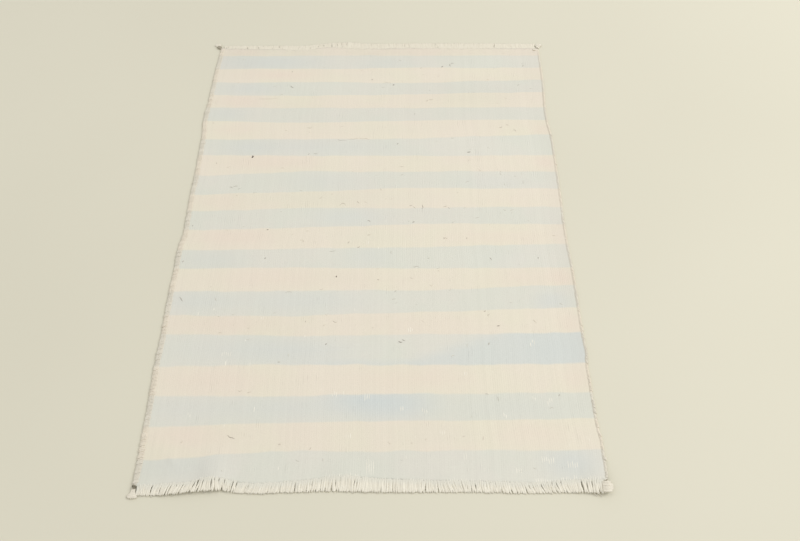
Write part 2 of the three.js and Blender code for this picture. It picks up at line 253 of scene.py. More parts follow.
class Graph:
    """Shader nodes of one material, made and linked by short calls."""

    def __init__(self, name):
        self.material = bpy.data.materials.new(name)
        self.material.use_nodes = True
        self.tree = self.material.node_tree
        self.shader = self.tree.nodes["Principled BSDF"]

    def set(self, socket, value):
        if isinstance(value, bpy.types.NodeSocket):
            self.tree.links.new(value, socket)
        elif value is not None:
            socket.default_value = value

    def node(self, kind, inputs, **settings):
        made = self.tree.nodes.new(kind)
        for key, value in settings.items():
            setattr(made, key, value)
        for key, value in inputs.items():
            self.set(made.inputs[key], value)
        return made

    def maths(self, operation, a, b=None, c=None):
        return self.node("ShaderNodeMath", {0: a, 1: b, 2: c}, operation=operation).outputs[0]

    def times(self, a, b):
        return self.maths("MULTIPLY", a, b)

    def times_plus(self, a, b, c):
        return self.maths("MULTIPLY_ADD", a, b, c)

    def attribute(self, name):
        return self.node("ShaderNodeAttribute", {}, attribute_name=name).outputs["Fac"]

    def vector(self, x, y, z=0.0):
        return self.node("ShaderNodeCombineXYZ", {0: x, 1: y, 2: z}).outputs[0]

    def noise(self, vector, scale, detail=2.0, roughness=0.5):
        inputs = {"Vector": vector, "Scale": scale, "Detail": detail, "Roughness": roughness}
        return self.node("ShaderNodeTexNoise", inputs).outputs["Fac"]

    def ramp(self, value, low, high, to_low=0.0, to_high=1.0, smooth=True):
        kind = "SMOOTHSTEP" if smooth else "LINEAR"
        inputs = {0: value, 1: low, 2: high, 3: to_low, 4: to_high}
        return self.node("ShaderNodeMapRange", inputs, interpolation_type=kind).outputs[0]

    def mix(self, share, a, b, blend="MIX"):
        made = self.node("ShaderNodeMix", {}, data_type="RGBA", blend_type=blend)
        for index, value in ((0, share), (6, a), (7, b)):
            self.set(made.inputs[index], value)
        return made.outputs[2]

    def bump(self, height, strength, distance):
        inputs = {"Height": height, "Strength": strength, "Distance": distance}
        return self.node("ShaderNodeBump", inputs).outputs[0]

    def wool_roughness(self, fibre, least=0.85):
        return self.ramp(fibre, 0.2, 0.8, least, 0.97, False)

    def finish(self, colour, roughness, normal, sheen, specular=0.25):
        inputs = {
            "Base Color": colour, "Roughness": roughness, "Normal": normal,
            "Sheen Weight": sheen, "Sheen Roughness": SHEEN_ROUGHNESS, "Specular IOR Level": specular,
        }
        for key, value in inputs.items():
            self.set(self.shader.inputs[key], value)
        return self.material


def linear(red, green, blue):
    """A colour given as it looks on screen, 0 to 255, as the shader's linear colour."""
    share = np.array([red, green, blue]) / 255
    value = np.where(share <= 0.04045, share / 12.92, ((share + 0.055) / 1.055) ** 2.4)
    return (*value.tolist(), 1.0)


WEFTS_PER_STRIPE = 34
# How far a stripe's edge wanders, and half the width in which one wool gives way to the other
EDGE_WANDER = 0.1
EDGE_SOFTNESS = 0.13
# The painted shade between ribs, where they stand proud and elsewhere, and how far proud ribs dip between
# beads
RIB_VALLEY_PAINTED_SHADE = {"proud": 0.08, "elsewhere": 0.004}
RIB_DIP = -1.2
BEAD_HEIGHT = 0.5
FIBRE_DEPTH = 0.0003
# The tint of soiling and of painted shade
SOIL_AND_SHADE_TINT = (0.95, 0.945, 0.945, 1)


def woven_material():
    """Weft stripes in two wools, with uneven dye, soiling and painted shade, on a ribbed weft-faced weave,
    with painted shade between the ribs.
    """
    g = Graph("striped_weave")
    stripe = g.attribute("stripe")
    warp = g.attribute("warp")
    where = g.node("ShaderNodeTexCoord", {}).outputs["Object"]
    weft = g.times(stripe, WEFTS_PER_STRIPE)

    # The edge of each stripe wanders by a weft or two
    wander = g.noise(g.vector(g.times(warp, 0.09), g.times(stripe, 3.0)), 1.0, 3.0)
    moved = g.times_plus(g.maths("SUBTRACT", wander, 0.5), EDGE_WANDER, stripe)
    wave = g.maths("SINE", g.times(moved, np.pi))
    blue_share = g.ramp(wave, EDGE_SOFTNESS, -EDGE_SOFTNESS)

    # Streaks along the wefts, clouds of dye, and a heather of fine fibres
    streak_at = g.vector(g.times(warp, 0.035), g.times(weft, 0.45))
    streak = g.noise(streak_at, 1.0, 3.0, 0.6)
    cloud = g.noise(where, 7.0, 3.0, 0.55)
    fibre_at = g.vector(g.times(warp, 0.9), g.times(weft, 1.1))
    fibre = g.noise(fibre_at, 1.0, 2.0, 0.7)

    peach = g.mix(g.ramp(streak, 0.3, 0.7), linear(226, 217, 201), linear(227, 218, 202))
    peach = g.mix(g.ramp(cloud, 0.36, 0.66), peach, linear(225, 219, 200))
    peach = g.mix(g.attribute("rosy"), peach, linear(227, 213, 198))
    peach = g.mix(g.attribute("dull"), peach, linear(221, 216, 199))
    tint = g.noise(where, 21.0, 3.0, 0.6)
    blue = g.mix(g.ramp(streak, 0.3, 0.7), linear(217, 214, 203), linear(219, 217, 205))
    blue = g.mix(g.ramp(tint, 0.4, 0.62), linear(218, 215, 204), blue)
    blue = g.mix(g.ramp(cloud, 0.36, 0.66), blue, linear(215, 215, 203))
    blue = g.mix(g.attribute("cool"), blue, linear(209, 211, 205))
    blue = g.mix(g.attribute("deep"), blue, linear(203, 209, 207))
    colour = g.mix(blue_share, peach, blue)
    grey = g.mix(g.ramp(fibre, 0.25, 0.8), (0.984, 0.984, 0.982, 1), (1.03, 1.03, 1.032, 1))
    colour = g.mix(1.0, colour, grey, "MULTIPLY")
    # Soiling and painted shade, with less of it through the middle as painted light
    colour = g.mix(g.attribute("soil_and_painted_shade"), colour, SOIL_AND_SHADE_TINT, "MULTIPLY")

    # Ribs stand proud in patches, each for a few wefts at a time
    number = g.maths("FLOOR", warp)
    rib = g.maths("COSINE", g.times(warp, 2 * np.pi))
    region = g.noise(g.vector(g.times(warp, 0.09), g.times(stripe, 1.7)), 1.0, 2.0)
    dash_at = g.vector(g.times(number, 3.7), g.times(stripe, 2.4), 0.5)
    dash = g.ramp(g.noise(dash_at, 1.0, 1.0), 0.52, 0.72)
    proud = g.times(dash, g.ramp(region, 0.52, 0.68))
    single = g.node("ShaderNodeTexWhiteNoise", {"W": number}, noise_dimensions="1D")
    shade = g.ramp(single.outputs["Value"], 0.0, 1.0, 0.988, 1.008, False)
    # Painted shade in the valleys between ribs, deeper where they stand proud
    between = g.times_plus(proud, RIB_VALLEY_PAINTED_SHADE["proud"], RIB_VALLEY_PAINTED_SHADE["elsewhere"])
    valley_painted_shade = g.times(between, g.ramp(rib, 0.2, 1.0))
    shade = g.maths("SUBTRACT", shade, valley_painted_shade)
    colour = g.mix(1.0, colour, g.vector(shade, shade, shade), "MULTIPLY")

    # Beads of weft over each warp, staggered from one warp to the next
    half = g.times(number, 0.5)
    bead = g.maths("COSINE", g.times(g.maths("ADD", weft, half), 2 * np.pi))
    height = g.times_plus(bead, BEAD_HEIGHT, fibre)
    height = g.times_plus(g.times(proud, rib), RIB_DIP, height)
    normal = g.bump(height, 0.45, FIBRE_DEPTH)
    return g.finish(colour, g.wool_roughness(fibre, 0.84), normal, 0.12)


# How far the fibres turn round a yarn, in radians for each millimetre of it
FIBRE_TURN = 0.75
# How far from its root a strand has lost its root colour: where that begins, and where it ends
ROOT_COLOUR_FADES = (6.5, 17.0)
BESIDE_BLUE_TINT = (0.945, 0.975, 1.0, 1)


def yarn_material(name, dark, light, sheen=0.15, striped=False, root=None):
    """Loose wool or cotton yarn: tone from strand to strand, and fibres wound along it. A striped one is
    greyer beside the cloth's blue stripes, and one with a root colour starts in it."""
    g = Graph(name)
    tone = g.attribute("tone")
    along = g.attribute("along")
    around = g.attribute("around")
    wound = g.times_plus(along, -FIBRE_TURN, around)
    fibre_at = g.vector(g.times(wound, 2.0), g.times(along, 0.22), tone)
    fibre = g.noise(fibre_at, 2.2, 3.0, 0.65)
    patch = g.noise(g.vector(g.times(along, 0.09), g.times(tone, 9.0)), 1.0, 2.0)
    share = g.maths("ADD", g.times(fibre, 0.6), g.times(tone, 0.5))
    share = g.times_plus(patch, 0.4, share)
    colour = g.mix(g.ramp(share, 0.2, 1.15), dark, light)
    if root is not None:
        past = g.times_plus(patch, 8.0, along)
        colour = g.mix(g.ramp(past, *ROOT_COLOUR_FADES), root, colour)
    if striped:
        colour = g.mix(g.attribute("beside_blue"), colour, BESIDE_BLUE_TINT, "MULTIPLY")
    return g.finish(colour, g.wool_roughness(fibre), g.bump(fibre, 0.6, FIBRE_DEPTH), sheen)


woven = woven_material()
whipping = yarn_material("whipping_yarn", linear(219, 210, 193), linear(232, 223, 206), striped=True)
cotton = {
    "near": yarn_material(
        "warp_cotton", linear(221, 215, 199), linear(237, 232, 217), 0.2, root=linear(218, 215, 202)
    ),
    # The far fringe's cotton is the same yarn, in a dimmer, flatter colour
    "far": yarn_material("far_cotton", linear(218, 211, 193), linear(226, 220, 203), 0.2),
}
tail_yarn = yarn_material("tail_yarn", linear(220, 213, 197), linear(233, 227, 212), 0.2)
# Dark wool for the tails' necks, partly painted shade: it also darkens the deep gap at each corner
dark_wool_and_shade = yarn_material("dark_wool_and_shade", linear(104, 98, 80), linear(186, 179, 160), 0.1)

# The woven cloth

WARPS = 204
COLUMNS_PER_WARP = 4
ROWS_PER_STRIPE = 4
ROWS_IN_LAST_STRIPE = 12
# How far inside the mat's outer edges the cloth ends, under the whipping
UNDER_SELVEDGE = {"left": 4.2, "right": -0.2}
WARP_PITCH = NOMINAL_WIDTH / WARPS
# How uneven the warps are in width, between limits, and in depth
WIDTH_UNEVEN = 0.13
WIDTH_LIMIT = 1.6
RIB_DEPTHS = (0.5, 1.35)
# A stripe's edge wanders in four waves: how many there are across the mat, and how far each goes
WANDER = table("waves size", [(2.3, 0.9), (5.1, 0.7), (9.7, 0.45), (17.0, 0.3)])
# The cloth's ends are frayed, in waves and from warp to warp
END_FRAY = 0.7
WARP_FRAY = 0.55

warp_widths = 1 + WIDTH_UNEVEN * rng.standard_normal(WARPS).clip(-WIDTH_LIMIT, WIDTH_LIMIT)
warp_lines = np.concatenate([[0], np.cumsum(warp_widths)]) / warp_widths.sum()
warp_depth = rng.uniform(*RIB_DEPTHS, WARPS + 1)


def share_across(warp):
    """Where a warp lies, as a share of the cloth's width, from its number."""
    return np.interp(warp, np.arange(WARPS + 1), warp_lines)


def boundary_wander():
    """A gentle random wave for one stripe's edge, as a function of share across."""
    phases = rng.uniform(0, 2 * np.pi, len(WANDER["waves"]))
    sizes = rng.uniform(0.3, 1.0, len(phases)) * WANDER["size"]
    return lambda share: sum(
        size * np.sin(2 * np.pi * wave * share + phase)
        for size, wave, phase in zip(sizes, WANDER["waves"], phases)
    )


wanders = [boundary_wander() for _ in BOUNDARIES]
end_fray = [boundary_wander() for _ in range(2)]
warp_fray = rng.normal(0, WARP_FRAY, (2, WARPS + 1)).clip(-1.3, 1.0)


def stripe_line(number, share):
    """from_far of one stripe's edge; the first and last are the cloth's ends."""
    if number in (0, STRIPES):
        end, row = ("far", 0) if number == 0 else ("near", 1)
        fray = END_FRAY * end_fray[row](share) + np.interp(share, warp_lines, warp_fray[row])
        return ends[end]["root"](share * NOMINAL_WIDTH) + fray
    measured = np.interp(share, BOUNDARY_SHARES, BOUNDARIES[number - 1])
    return measured + wanders[number - 1](share)


def stripe_at(share, from_far):
    """The stripe coordinate at one share of the width."""
    lines = [stripe_line(number, share) for number in range(STRIPES + 1)]
    return np.interp(from_far, lines, np.arange(STRIPES + 1))


def beside_blue(stripe):
    """1 beside a blue stripe and 0 beside a peach one, softly between."""
    return smooth_step(0.5 - 3 * np.sin(np.pi * stripe))


def cloth_place(stripe, share):
    """across and from_far of a place on the cloth, from its stripe coordinate and share across."""
    below = min(int(stripe), STRIPES - 1)
    part = stripe - below
    from_far = (1 - part) * stripe_line(below, share) + part * stripe_line(below + 1, share)
    left = outer_edge("left", from_far) + UNDER_SELVEDGE["left"]
    right = outer_edge("right", from_far) - UNDER_SELVEDGE["right"]
    return left + share * (right - left), from_far


def patch_table(rows):
    """Soft oval patches: the middle, half size and strength of each."""
    return table("across from_far half_across half_along strength", rows)


# Where the ribs stand out more
STRONG_RIBS = patch_table([
    (560, 880, 200, 190, 0.9), (250, 760, 60, 60, 0.7), (330, 870, 90, 50, 0.8), (90, 640, 60, 70, 0.5),
    (420, 560, 130, 80, 0.5), (640, 620, 60, 90, 0.6), (100, 980, 60, 50, 0.8), (300, 975, 70, 40, 0.8),
])
# Soft creases, from one place to another
CREASES = table("across_0 from_far_0 across_1 from_far_1 half_width height", [
    (4, 912, 64, 972, 8, 1.3), (610, 930, 676, 905, 14, 0.5), (20, 560, 150, 548, 22, 0.35),
    (420, 200, 660, 240, 30, 0.35), (120, 30, 60, 120, 20, 0.35),
])
# How far from its middle a crease has died away, as a share of its length
CREASE_REACH = 0.62
RIB_HEIGHT = {"least": 0.025, "more": 0.08, "limit": 1.2}
# Two slow swells of the cloth's face: how high, how many millimetres to a radian each way, and phase
SWELLS = table("height across from_far phase", [(0.12, 47, 83, 0), (0.1, -120, 61, 1.3)])
# The share of a crease's height that its under face has
CREASE_BELOW = 0.8


def bell(distance):
    """1 at 0, smoothly down to 0 at 1."""
    return np.cos(np.clip(distance, 0, 1) * np.pi / 2) ** 2


def patches(rows, across, from_far):
    """A table's patches, added up."""
    total = np.zeros(across.shape)
    for x, y, half_x, half_y, strength in zip(*rows.values()):
        total += strength * bell(np.hypot((across - x) / half_x, (from_far - y) / half_y))
    return total


def crease_height(across, from_far):
    """How far the soft creases lift the cloth."""
    total = np.zeros(across.shape)
    for x0, y0, x1, y1, half_width, height in zip(*CREASES.values()):
        long = np.hypot(x1 - x0, y1 - y0)
        along = ((across - x0) * (x1 - x0) + (from_far - y0) * (y1 - y0)) / long**2
        aside = ((across - x0) * (y1 - y0) - (from_far - y0) * (x1 - x0)) / long
        total += height * bell(np.abs(aside) / half_width) * bell(np.abs(along - 0.5) / CREASE_REACH)
    return total


# Uneven dye, soiling and painted shade. cool and deep are bluer wool, rosy and dull are warmer and greyer
# peach. The soiled patches are partly real soiling and partly painted shade towards the far end, the far
# corners and the right edge, and their negative patches take some away through the middle as painted
# light.
DYES = {
    "cool": patch_table([
        (110, 48, 190, 40, 0.75), (350, 50, 110, 30, 0.4), (80, 130, 110, 30, 0.6),
        (40, 205, 80, 30, 0.5), (230, 300, 260, 40, 0.5), (90, 300, 90, 40, 0.4),
        (290, 478, 110, 35, 0.6), (60, 575, 110, 35, 0.4), (330, 570, 70, 35, 0.4),
        (560, 570, 110, 35, 0.2), (40, 665, 110, 35, 0.6), (640, 665, 50, 35, 0.8),
        (220, 665, 190, 40, 0.6), (120, 760, 190, 45, 0.5), (240, 765, 160, 40, 0.6),
        (360, 868, 130, 40, 0.5), (220, 868, 160, 36, 0.6), (560, 868, 160, 30, 0.3),
        (60, 870, 120, 35, 0.4), (640, 960, 70, 45, 0.9), (70, 965, 110, 40, 0.45),
        (250, 390, 120, 35, 0.4), (560, 390, 130, 30, 0.3),
    ]),
    "deep": patch_table([
        (366, 858, 112, 42, 0.8), (300, 850, 80, 30, 0.35), (300, 788, 150, 13, 0.5),
        (640, 762, 110, 60, 0.15),
    ]),
    "rosy": patch_table([
        (140, 88, 130, 30, 0.7), (60, 168, 90, 28, 0.6), (130, 340, 170, 32, 0.6), (60, 250, 80, 30, 0.5),
        (60, 440, 90, 35, 0.5), (90, 525, 130, 30, 0.7), (560, 525, 150, 30, 0.5),
        (200, 617, 260, 35, 0.5), (600, 617, 120, 30, 0.4), (90, 712, 160, 30, 0.5),
        (420, 712, 160, 30, 0.2), (90, 818, 170, 36, 0.5), (400, 815, 150, 36, 0.5),
        (60, 915, 120, 34, 0.6), (590, 910, 90, 30, 0.4), (250, 915, 120, 30, 0.1),
        (450, 12, 300, 24, 0.3), (60, 15, 60, 22, 0.5), (660, 340, 40, 30, 0.6), (580, 440, 90, 30, 0.2),
        (664, 250, 36, 30, 0.5), (664, 617, 36, 32, 0.5), (664, 712, 40, 32, 0.5),
        (662, 817, 44, 36, 0.5),
    ]),
    "dull": patch_table([
        (280, 430, 260, 40, 0.6), (330, 525, 130, 34, 0.4), (340, 250, 200, 30, 0.4),
        (540, 160, 120, 26, 0.4), (270, 615, 100, 30, 0.3), (440, 915, 110, 30, 0.4),
        (330, 90, 130, 26, 0.3),
    ]),
    "soil_and_painted_shade": patch_table([
        (20, 20, 120, 130, 0.6), (340, 20, 420, 110, 0.4), (675, 60, 90, 120, 0.7),
        (690, 300, 60, 240, 0.6), (690, 560, 60, 240, 0.6), (690, 780, 50, 140, 0.4),
        (5, 970, 80, 60, 0.5), (560, 130, 300, 80, 0.4), (560, 200, 300, 120, 0.35),
        (230, 205, 260, 60, 0.2), (700, 560, 110, 620, 0.35), (240, 320, 170, 30, -0.2),
        (250, 478, 160, 30, -0.3), (340, 572, 420, 32, -0.3), (260, 665, 300, 34, -0.2),
        (280, 765, 330, 40, -0.15), (260, 868, 300, 36, -0.15), (290, 640, 330, 260, -0.08),
    ]),
}
# How much soiling and painted shade lies over the whole cloth before the patches add to or take from it
SOIL_AND_SHADE_EVERYWHERE = 0.18
# The bluer wedge in one stripe: from its tip on the near side to where it fills the stripe
WEDGE = {
    "tip": (372, 796), "full": (538, 730), "softness": 0.22, "first": 16.8, "last": 18.2, "deep": 0.55,
}


def dye(across, from_far, stripe):
    """How far each place has each uneven dye, and the soiling and painted shade."""
    (x0, y0), (x1, y1) = WEDGE["tip"], WEDGE["full"]
    past = (across - x0) / (x1 - x0) - (y0 - from_far) / (y0 - y1)
    wedge = smooth_step(past / WEDGE["softness"] / 2 + 0.5)
    wedge *= (stripe > WEDGE["first"]) & (stripe < WEDGE["last"])
    added = {"deep": WEDGE["deep"] * wedge, "soil_and_painted_shade": SOIL_AND_SHADE_EVERYWHERE}
    return {
        name: np.clip(patches(rows, across, from_far) + added.get(name, 0), 0, 1)
        for name, rows in DYES.items()
    }


def surface_height(across, from_far):
    """How far the cloth's mean upper face lies above the floor."""
    swell = sum(
        top * np.sin(across / x + from_far / y + phase) for top, x, y, phase in zip(*SWELLS.values())
    )
    return lift(across, from_far) + CLOTH_THICKNESS + crease_height(across, from_far) + swell


def woven_cloth():
    """The ribbed upper face, the flatter under face and the rim between them, as one closed sheet."""
    stripes = np.concatenate([
        np.linspace(0, STRIPES - 1, (STRIPES - 1) * ROWS_PER_STRIPE, endpoint=False),
        np.linspace(STRIPES - 1, STRIPES, ROWS_IN_LAST_STRIPE + 1),
    ])
    warps = np.arange(WARPS * COLUMNS_PER_WARP + 1) / COLUMNS_PER_WARP
    shares = share_across(warps)
    rows = [cloth_place(stripe, shares) for stripe in stripes]
    across = np.stack([row[0] for row in rows])
    from_far = np.stack([row[1] for row in rows])
    strong = np.clip(patches(STRONG_RIBS, across, from_far), 0, RIB_HEIGHT["limit"])
    strength = RIB_HEIGHT["least"] + RIB_HEIGHT["more"] * strong
    rib = (0.5 - 0.5 * np.cos(2 * np.pi * warps)) * warp_depth[np.minimum(warps.astype(int), WARPS)]
    over = surface_height(across, from_far) + strength * 2 * (rib - 0.5)
    under_rows = np.unique(np.concatenate([np.arange(0, len(stripes), 2), [len(stripes) - 1]]))
    under_columns = np.arange(0, len(warps), COLUMNS_PER_WARP)
    pick = np.ix_(under_rows, under_columns)
    under = lift(across[pick], from_far[pick]) + CREASE_BELOW * crease_height(across[pick], from_far[pick])
    over_points = place(across, from_far, over).reshape(-1, 3)
    under_points = place(across[pick], from_far[pick], under).reshape(-1, 3)

    def grid(height, width, first):
        return first + np.arange(height * width).reshape(height, width)

    over_grid = grid(*across.shape, 0)
    under_grid = grid(len(under_rows), len(under_columns), over_points.shape[0])
    faces = []
    for top, flip in ((over_grid, False), (under_grid, True)):
        quads = np.stack([top[1:, :-1], top[1:, 1:], top[:-1, 1:], top[:-1, :-1]], -1).reshape(-1, 4)
        faces += (quads[:, ::-1] if flip else quads).tolist()
    faces_inside = len(faces)
    for rim_over, rim_under in (
        (over_grid[0], under_grid[0]),
        (over_grid[-1][::-1], under_grid[-1][::-1]),
        (over_grid[::-1, 0], under_grid[::-1, 0]),
        (over_grid[:, -1], under_grid[:, -1]),
    ):
        faces += zip_rows(rim_over.tolist(), rim_under.tolist())
    every_stripe = np.broadcast_to(stripes[:, None], across.shape)
    every_warp = np.broadcast_to(warps, across.shape)
    attributes = {"stripe": every_stripe, "warp": every_warp, **dye(across, from_far, every_stripe)}
    attributes = {k: np.concatenate([v.ravel(), v[pick].ravel()]) for k, v in attributes.items()}
    points = np.concatenate([over_points, under_points])
    piece = new_piece("striped_cloth", points, faces, attributes, woven)
    flat = np.zeros(len(piece.data.polygons), bool)
    flat[faces_inside:] = True
    sharp = piece.data.attributes.new("sharp_face", "BOOLEAN", "FACE")
    sharp.data.foreach_set("value", flat)
    return piece


cloth = woven_cloth()

# The fringes: every warp runs on past the cloth's end as a plied strand, in two layers

FRINGE_STEPS = 15
FRINGE_SIDES = 9
FRINGE_START = -2.5
# How far inside the mat's outer edges the outermost strands stay
FRINGE_KEEPS_IN = {"left": 7.6, "right": 5.6}
ROOT_RISE = {"near": 0.5, "far": 0.1}
# Each strand dips into the cloth at its root, then falls to the floor over some way, which is longer the
# higher it starts
ROOT_TUCK = {"depth": 0.9, "over": 1.6}
FALL = {"over": 9.0, "for_height": 1.2}
# How unlike the strands are: standard deviations, or the least and the most
UNLIKE = {
    "drift": 1.0, "lean": 0.55, "reach": 0.5, "bend": 0.8, "start": (0.4, 1.6), "thick": (0.8, 1.1),
    "rest": (0, 0.5), "arch": (0.3, 1), "tone": (-0.3, 0.6),
}
FRINGE_LAYERS = {
    "near": ({"shift": 0.0, "radius": 1.55, "level": 0.6}, {"shift": 0.5, "radius": 1.6, "level": 0.0}),
    "far": ({"shift": 0.0, "radius": 1.75, "level": 0.1}, {"shift": 0.5, "radius": 1.7, "level": 0.0}),
}
# Half the width and height of a strand, as shares of its radius
FRINGE_SQUASH = {"near": (1.08, 0.7), "far": (1.15, 0.42)}
# How much thinner the strands are at their tips, and the share of their length where that begins
TIP_TAPER = {"near": 0.35, "far": 0.1}
TAPER_FROM = 0.75
# Neighbouring strands lean alike, and the lean turns about every so many of them
DRIFT_EVERY = 9
# Where the strands part at their roots and the floor shows between them. In half widths: how near the
# lower layer has no strand, how far the roots are pushed aside and over what distance. Then the share of
# the push that has closed again at the tips.
PARTING = {"clear": 0.8, "push": 0.8, "spread": 1.4, "closes": 1.7}
PARTED = {
    "near": table("across half_width", [
        (26, 0.7), (71, 0.8), (92, 1.9), (115, 1.6), (121.5, 2.0), (130, 1.3), (142, 0.9), (169, 0.7),
        (175, 0.7), (330, 1.0), (420, 0.9), (445, 0.9), (507, 0.8), (546, 0.8), (598, 1.0), (605, 1.1),
        (612, 1.1), (619, 1.1), (626, 1.0), (649, 0.8),
    ]),
    "far": table("across half_width", [(240, 0.7), (645, 1.4)]),
}
# How full the strands are
FULLNESS = {
    "near": table("across fullness", [
        (0, 1), (30, 1.06), (80, 1), (150, 1.03), (190, 1.12), (290, 1.15), (390, 1.12), (500, 1.04),
        (540, 1.08), (600, 1.06), (635, 1.15), (683, 1.17),
    ]),
    "far": table("across fullness", [(0, 1), (560, 1), (620, 1.1), (683, 1.1)]),
}
# How far the strands' tips hang above the floor, how much further they reach for each part of it,
# and how much further than the solids' strands they reach besides
REACH_FOR_GAP = 0.44
TIP_GAP = {
    "near": table("across gap further", [
        (0, 0.6, 0.2), (30, 0.6, 0.2), (52, 2.4, -0.3), (75, 3.8, -0.6), (112, 4.2, 0.2), (130, 1.7, 0),
        (150, 0.4, 0.1), (200, 0.4, 0), (250, 0.3, 0.3), (300, 0.4, 0.1), (400, 0.3, 0), (444, 0.1, -1.0),
        (490, 0.1, -2.0), (520, 0.1, -1.6), (545, 0.1, -0.2), (590, 0.1, -0.3), (625, 0.5, -0.9),
        (660, 1.9, -0.3), (672, 3.9, 0), (683, 4.9, 0),
    ]),
    "far": table("across gap further", [(0, 0.1, 0), (683, 0.1, 0)]),
}
# Single strands lying past the others, from one place to another, with the height each starts from
STRAYS = table("across_0 from_far_0 across_1 from_far_1 start", [
    (660, 1001, 670, 1011, 2.8), (666, 1002, 677, 1011.5, 2.8), (20, 1003, 27, 1013, 0.9),
    (106, 998, 101, 1006, 3.5), (350, 999, 353, 1007.5, 0.4),
])
# The hairs at the cut ends: how many, how thick from foot to tip, how long, and how far they splay
HAIRS_PER_STRAND = 2
HAIR_RADII = (0.42, 0.36, 0.27, 0.12)
HAIR_LENGTHS = (0.8, 1.9)
HAIR_SPLAY = 0.4
# How much later in the yarn hairs and strays begin, to have none of a strand's root colour
BEYOND_ROOT = 30.0


def past_the_root(made):
    """yarns() that begin beyond a strand's root."""
    made[2]["along"] = made[2]["along"] + BEYOND_ROOT
    return made


def loose_fibres(paths):
    """Short hairs where each strand is cut."""
    tip, before = (np.repeat(paths[:, step], HAIRS_PER_STRAND, 0) for step in (-1, -3))
    ahead = tip - before
    ahead[:, 2] *= 0.3
    ahead /= np.linalg.norm(ahead, axis=1, keepdims=True)
    spread = rng.normal(0, HAIR_SPLAY, (len(tip), 3)) * (1, 1, 0.25)
    share = np.linspace(0, 1, len(HAIR_RADII))[None, :, None]
    long = rng.uniform(*HAIR_LENGTHS, (len(tip), 1, 1))
    hair = tip[:, None] - 0.6 * ahead[:, None] + long * share * (ahead[:, None] + spread[:, None] * share)
    thin = np.broadcast_to(np.array(HAIR_RADII), hair.shape[:2])
    return past_the_root(yarns(hair, thin, rng.uniform(0, 0.8, len(tip)), sides=4, plies=1))


def reading(rows, column, across):
    """One column of a table, read off at places across the mat."""
    return np.interp(across, rows["across"], rows[column])


def fringe_layer(end, shift, radius, level):
    """One layer of a fringe, as yarns() results: its strands and the hairs at their cut ends."""
    outward = OUTWARD[end]
    flat = FRINGE_SQUASH[end][1]
    share = share_across(np.arange(WARPS) + 0.5 + shift)
    across, root = cloth_place(0.0 if end == "far" else float(STRIPES), share)
    inner = across > outer_edge("left", root) + FRINGE_KEEPS_IN["left"]
    inner &= across < outer_edge("right", root) - FRINGE_KEEPS_IN["right"]
    half_width = PARTED[end]["half_width"]
    apart = (across[:, None] - PARTED[end]["across"]) / half_width
    push = PARTING["push"] * half_width * np.sign(apart) * np.exp(-(apart / PARTING["spread"]) ** 2)
    keep = inner & ((np.abs(apart) > PARTING["clear"]).all(1) | (shift == 0))
    across, root, push = across[keep], root[keep], push.sum(1)[keep]
    count = len(across)
    turning_points = np.arange(0, count + DRIFT_EVERY, DRIFT_EVERY)
    turns = rng.normal(0, UNLIKE["drift"], len(turning_points))
    drift = np.interp(np.arange(count), turning_points, turns)
    lean = ends[end]["lean"](across) + drift + rng.normal(0, UNLIKE["lean"], count)
    gap = reading(TIP_GAP[end], "gap", across)
    reach = (ends[end]["tip"](across) - root) * outward + rng.normal(0, UNLIKE["reach"], count)
    reach += REACH_FOR_GAP * gap
    reach += reading(TIP_GAP[end], "further", across)
    part = np.linspace(0, 1, FRINGE_STEPS)
    bend = rng.normal(0, UNLIKE["bend"], (count, 1))
    begin = FRINGE_START * rng.uniform(*UNLIKE["start"], (count, 1))
    distance = begin + part * (reach[:, None] - begin)
    sway = lean[:, None] * part**1.4 + bend * np.sin(np.pi * part) + 0.25 * np.sin(7 * part + 9 * bend)
    sway += push[:, None] * (1 - PARTING["closes"] * part)
    full = reading(FULLNESS[end], "fullness", across)[:, None]
    taper = 1 - TIP_TAPER[end] * smooth_step((part - TAPER_FROM) / (1 - TAPER_FROM))
    thick = radius * full * rng.uniform(*UNLIKE["thick"], (count, 1)) * taper
    base = lift(across, root)[:, None] + CLOTH_THICKNESS + ROOT_RISE[end] - flat * thick
    resting = flat * thick + gap[:, None] + rng.uniform(*UNLIKE["rest"], (count, 1)) * flat
    resting = resting + 0.5 * level * (1 - part)
    fall = smooth_step(distance / (FALL["over"] + FALL["for_height"] * base))
    height = (1 - fall) * base + fall * resting
    height += level * rng.uniform(*UNLIKE["arch"], (count, 1)) * np.sin(np.pi * part) ** 2
    height -= ROOT_TUCK["depth"] * smooth_step(1 - (distance - begin) / ROOT_TUCK["over"])
    paths = np.stack([across[:, None] + sway, root[:, None] + outward * distance, height], -1)
    tone = rng.uniform(*UNLIKE["tone"], count)
    strands = yarns(paths, thick, tone, FRINGE_SIDES, squash=FRINGE_SQUASH[end], groove=0.22)
    return [strands, loose_fibres(paths)]


def stray_strands():
    """Strands that have slipped out past the others on to the floor."""
    part = np.linspace(0, 1, FRINGE_STEPS)
    paths = []
    for x0, y0, x1, y1, start in zip(*STRAYS.values()):
        x = x0 + (x1 - x0) * part + 0.5 * np.sin(np.pi * part)
        height = start * (1 - smooth_step(part * 1.15)) + 0.7
        paths.append(np.stack([x, y0 + (y1 - y0) * part, height], -1))
    radius = np.broadcast_to(0.95 - 0.45 * part**3, (len(paths), FRINGE_STEPS))
    return past_the_root(yarns(np.stack(paths), radius, rng.uniform(-0.3, 0.2, len(paths))))


def fringe(end):
    parts = [part for layer in FRINGE_LAYERS[end] for part in fringe_layer(end, **layer)]
    if end == "near":
        parts.append(stray_strands())
    return yarn_piece(f"{end}_fringe_strands", parts, cotton[end])


fringes = {end: fringe(end) for end in ("near", "far")}

# The long edges: a bundle of outer warps, with doubled yarn whipped over it stitch by stitch

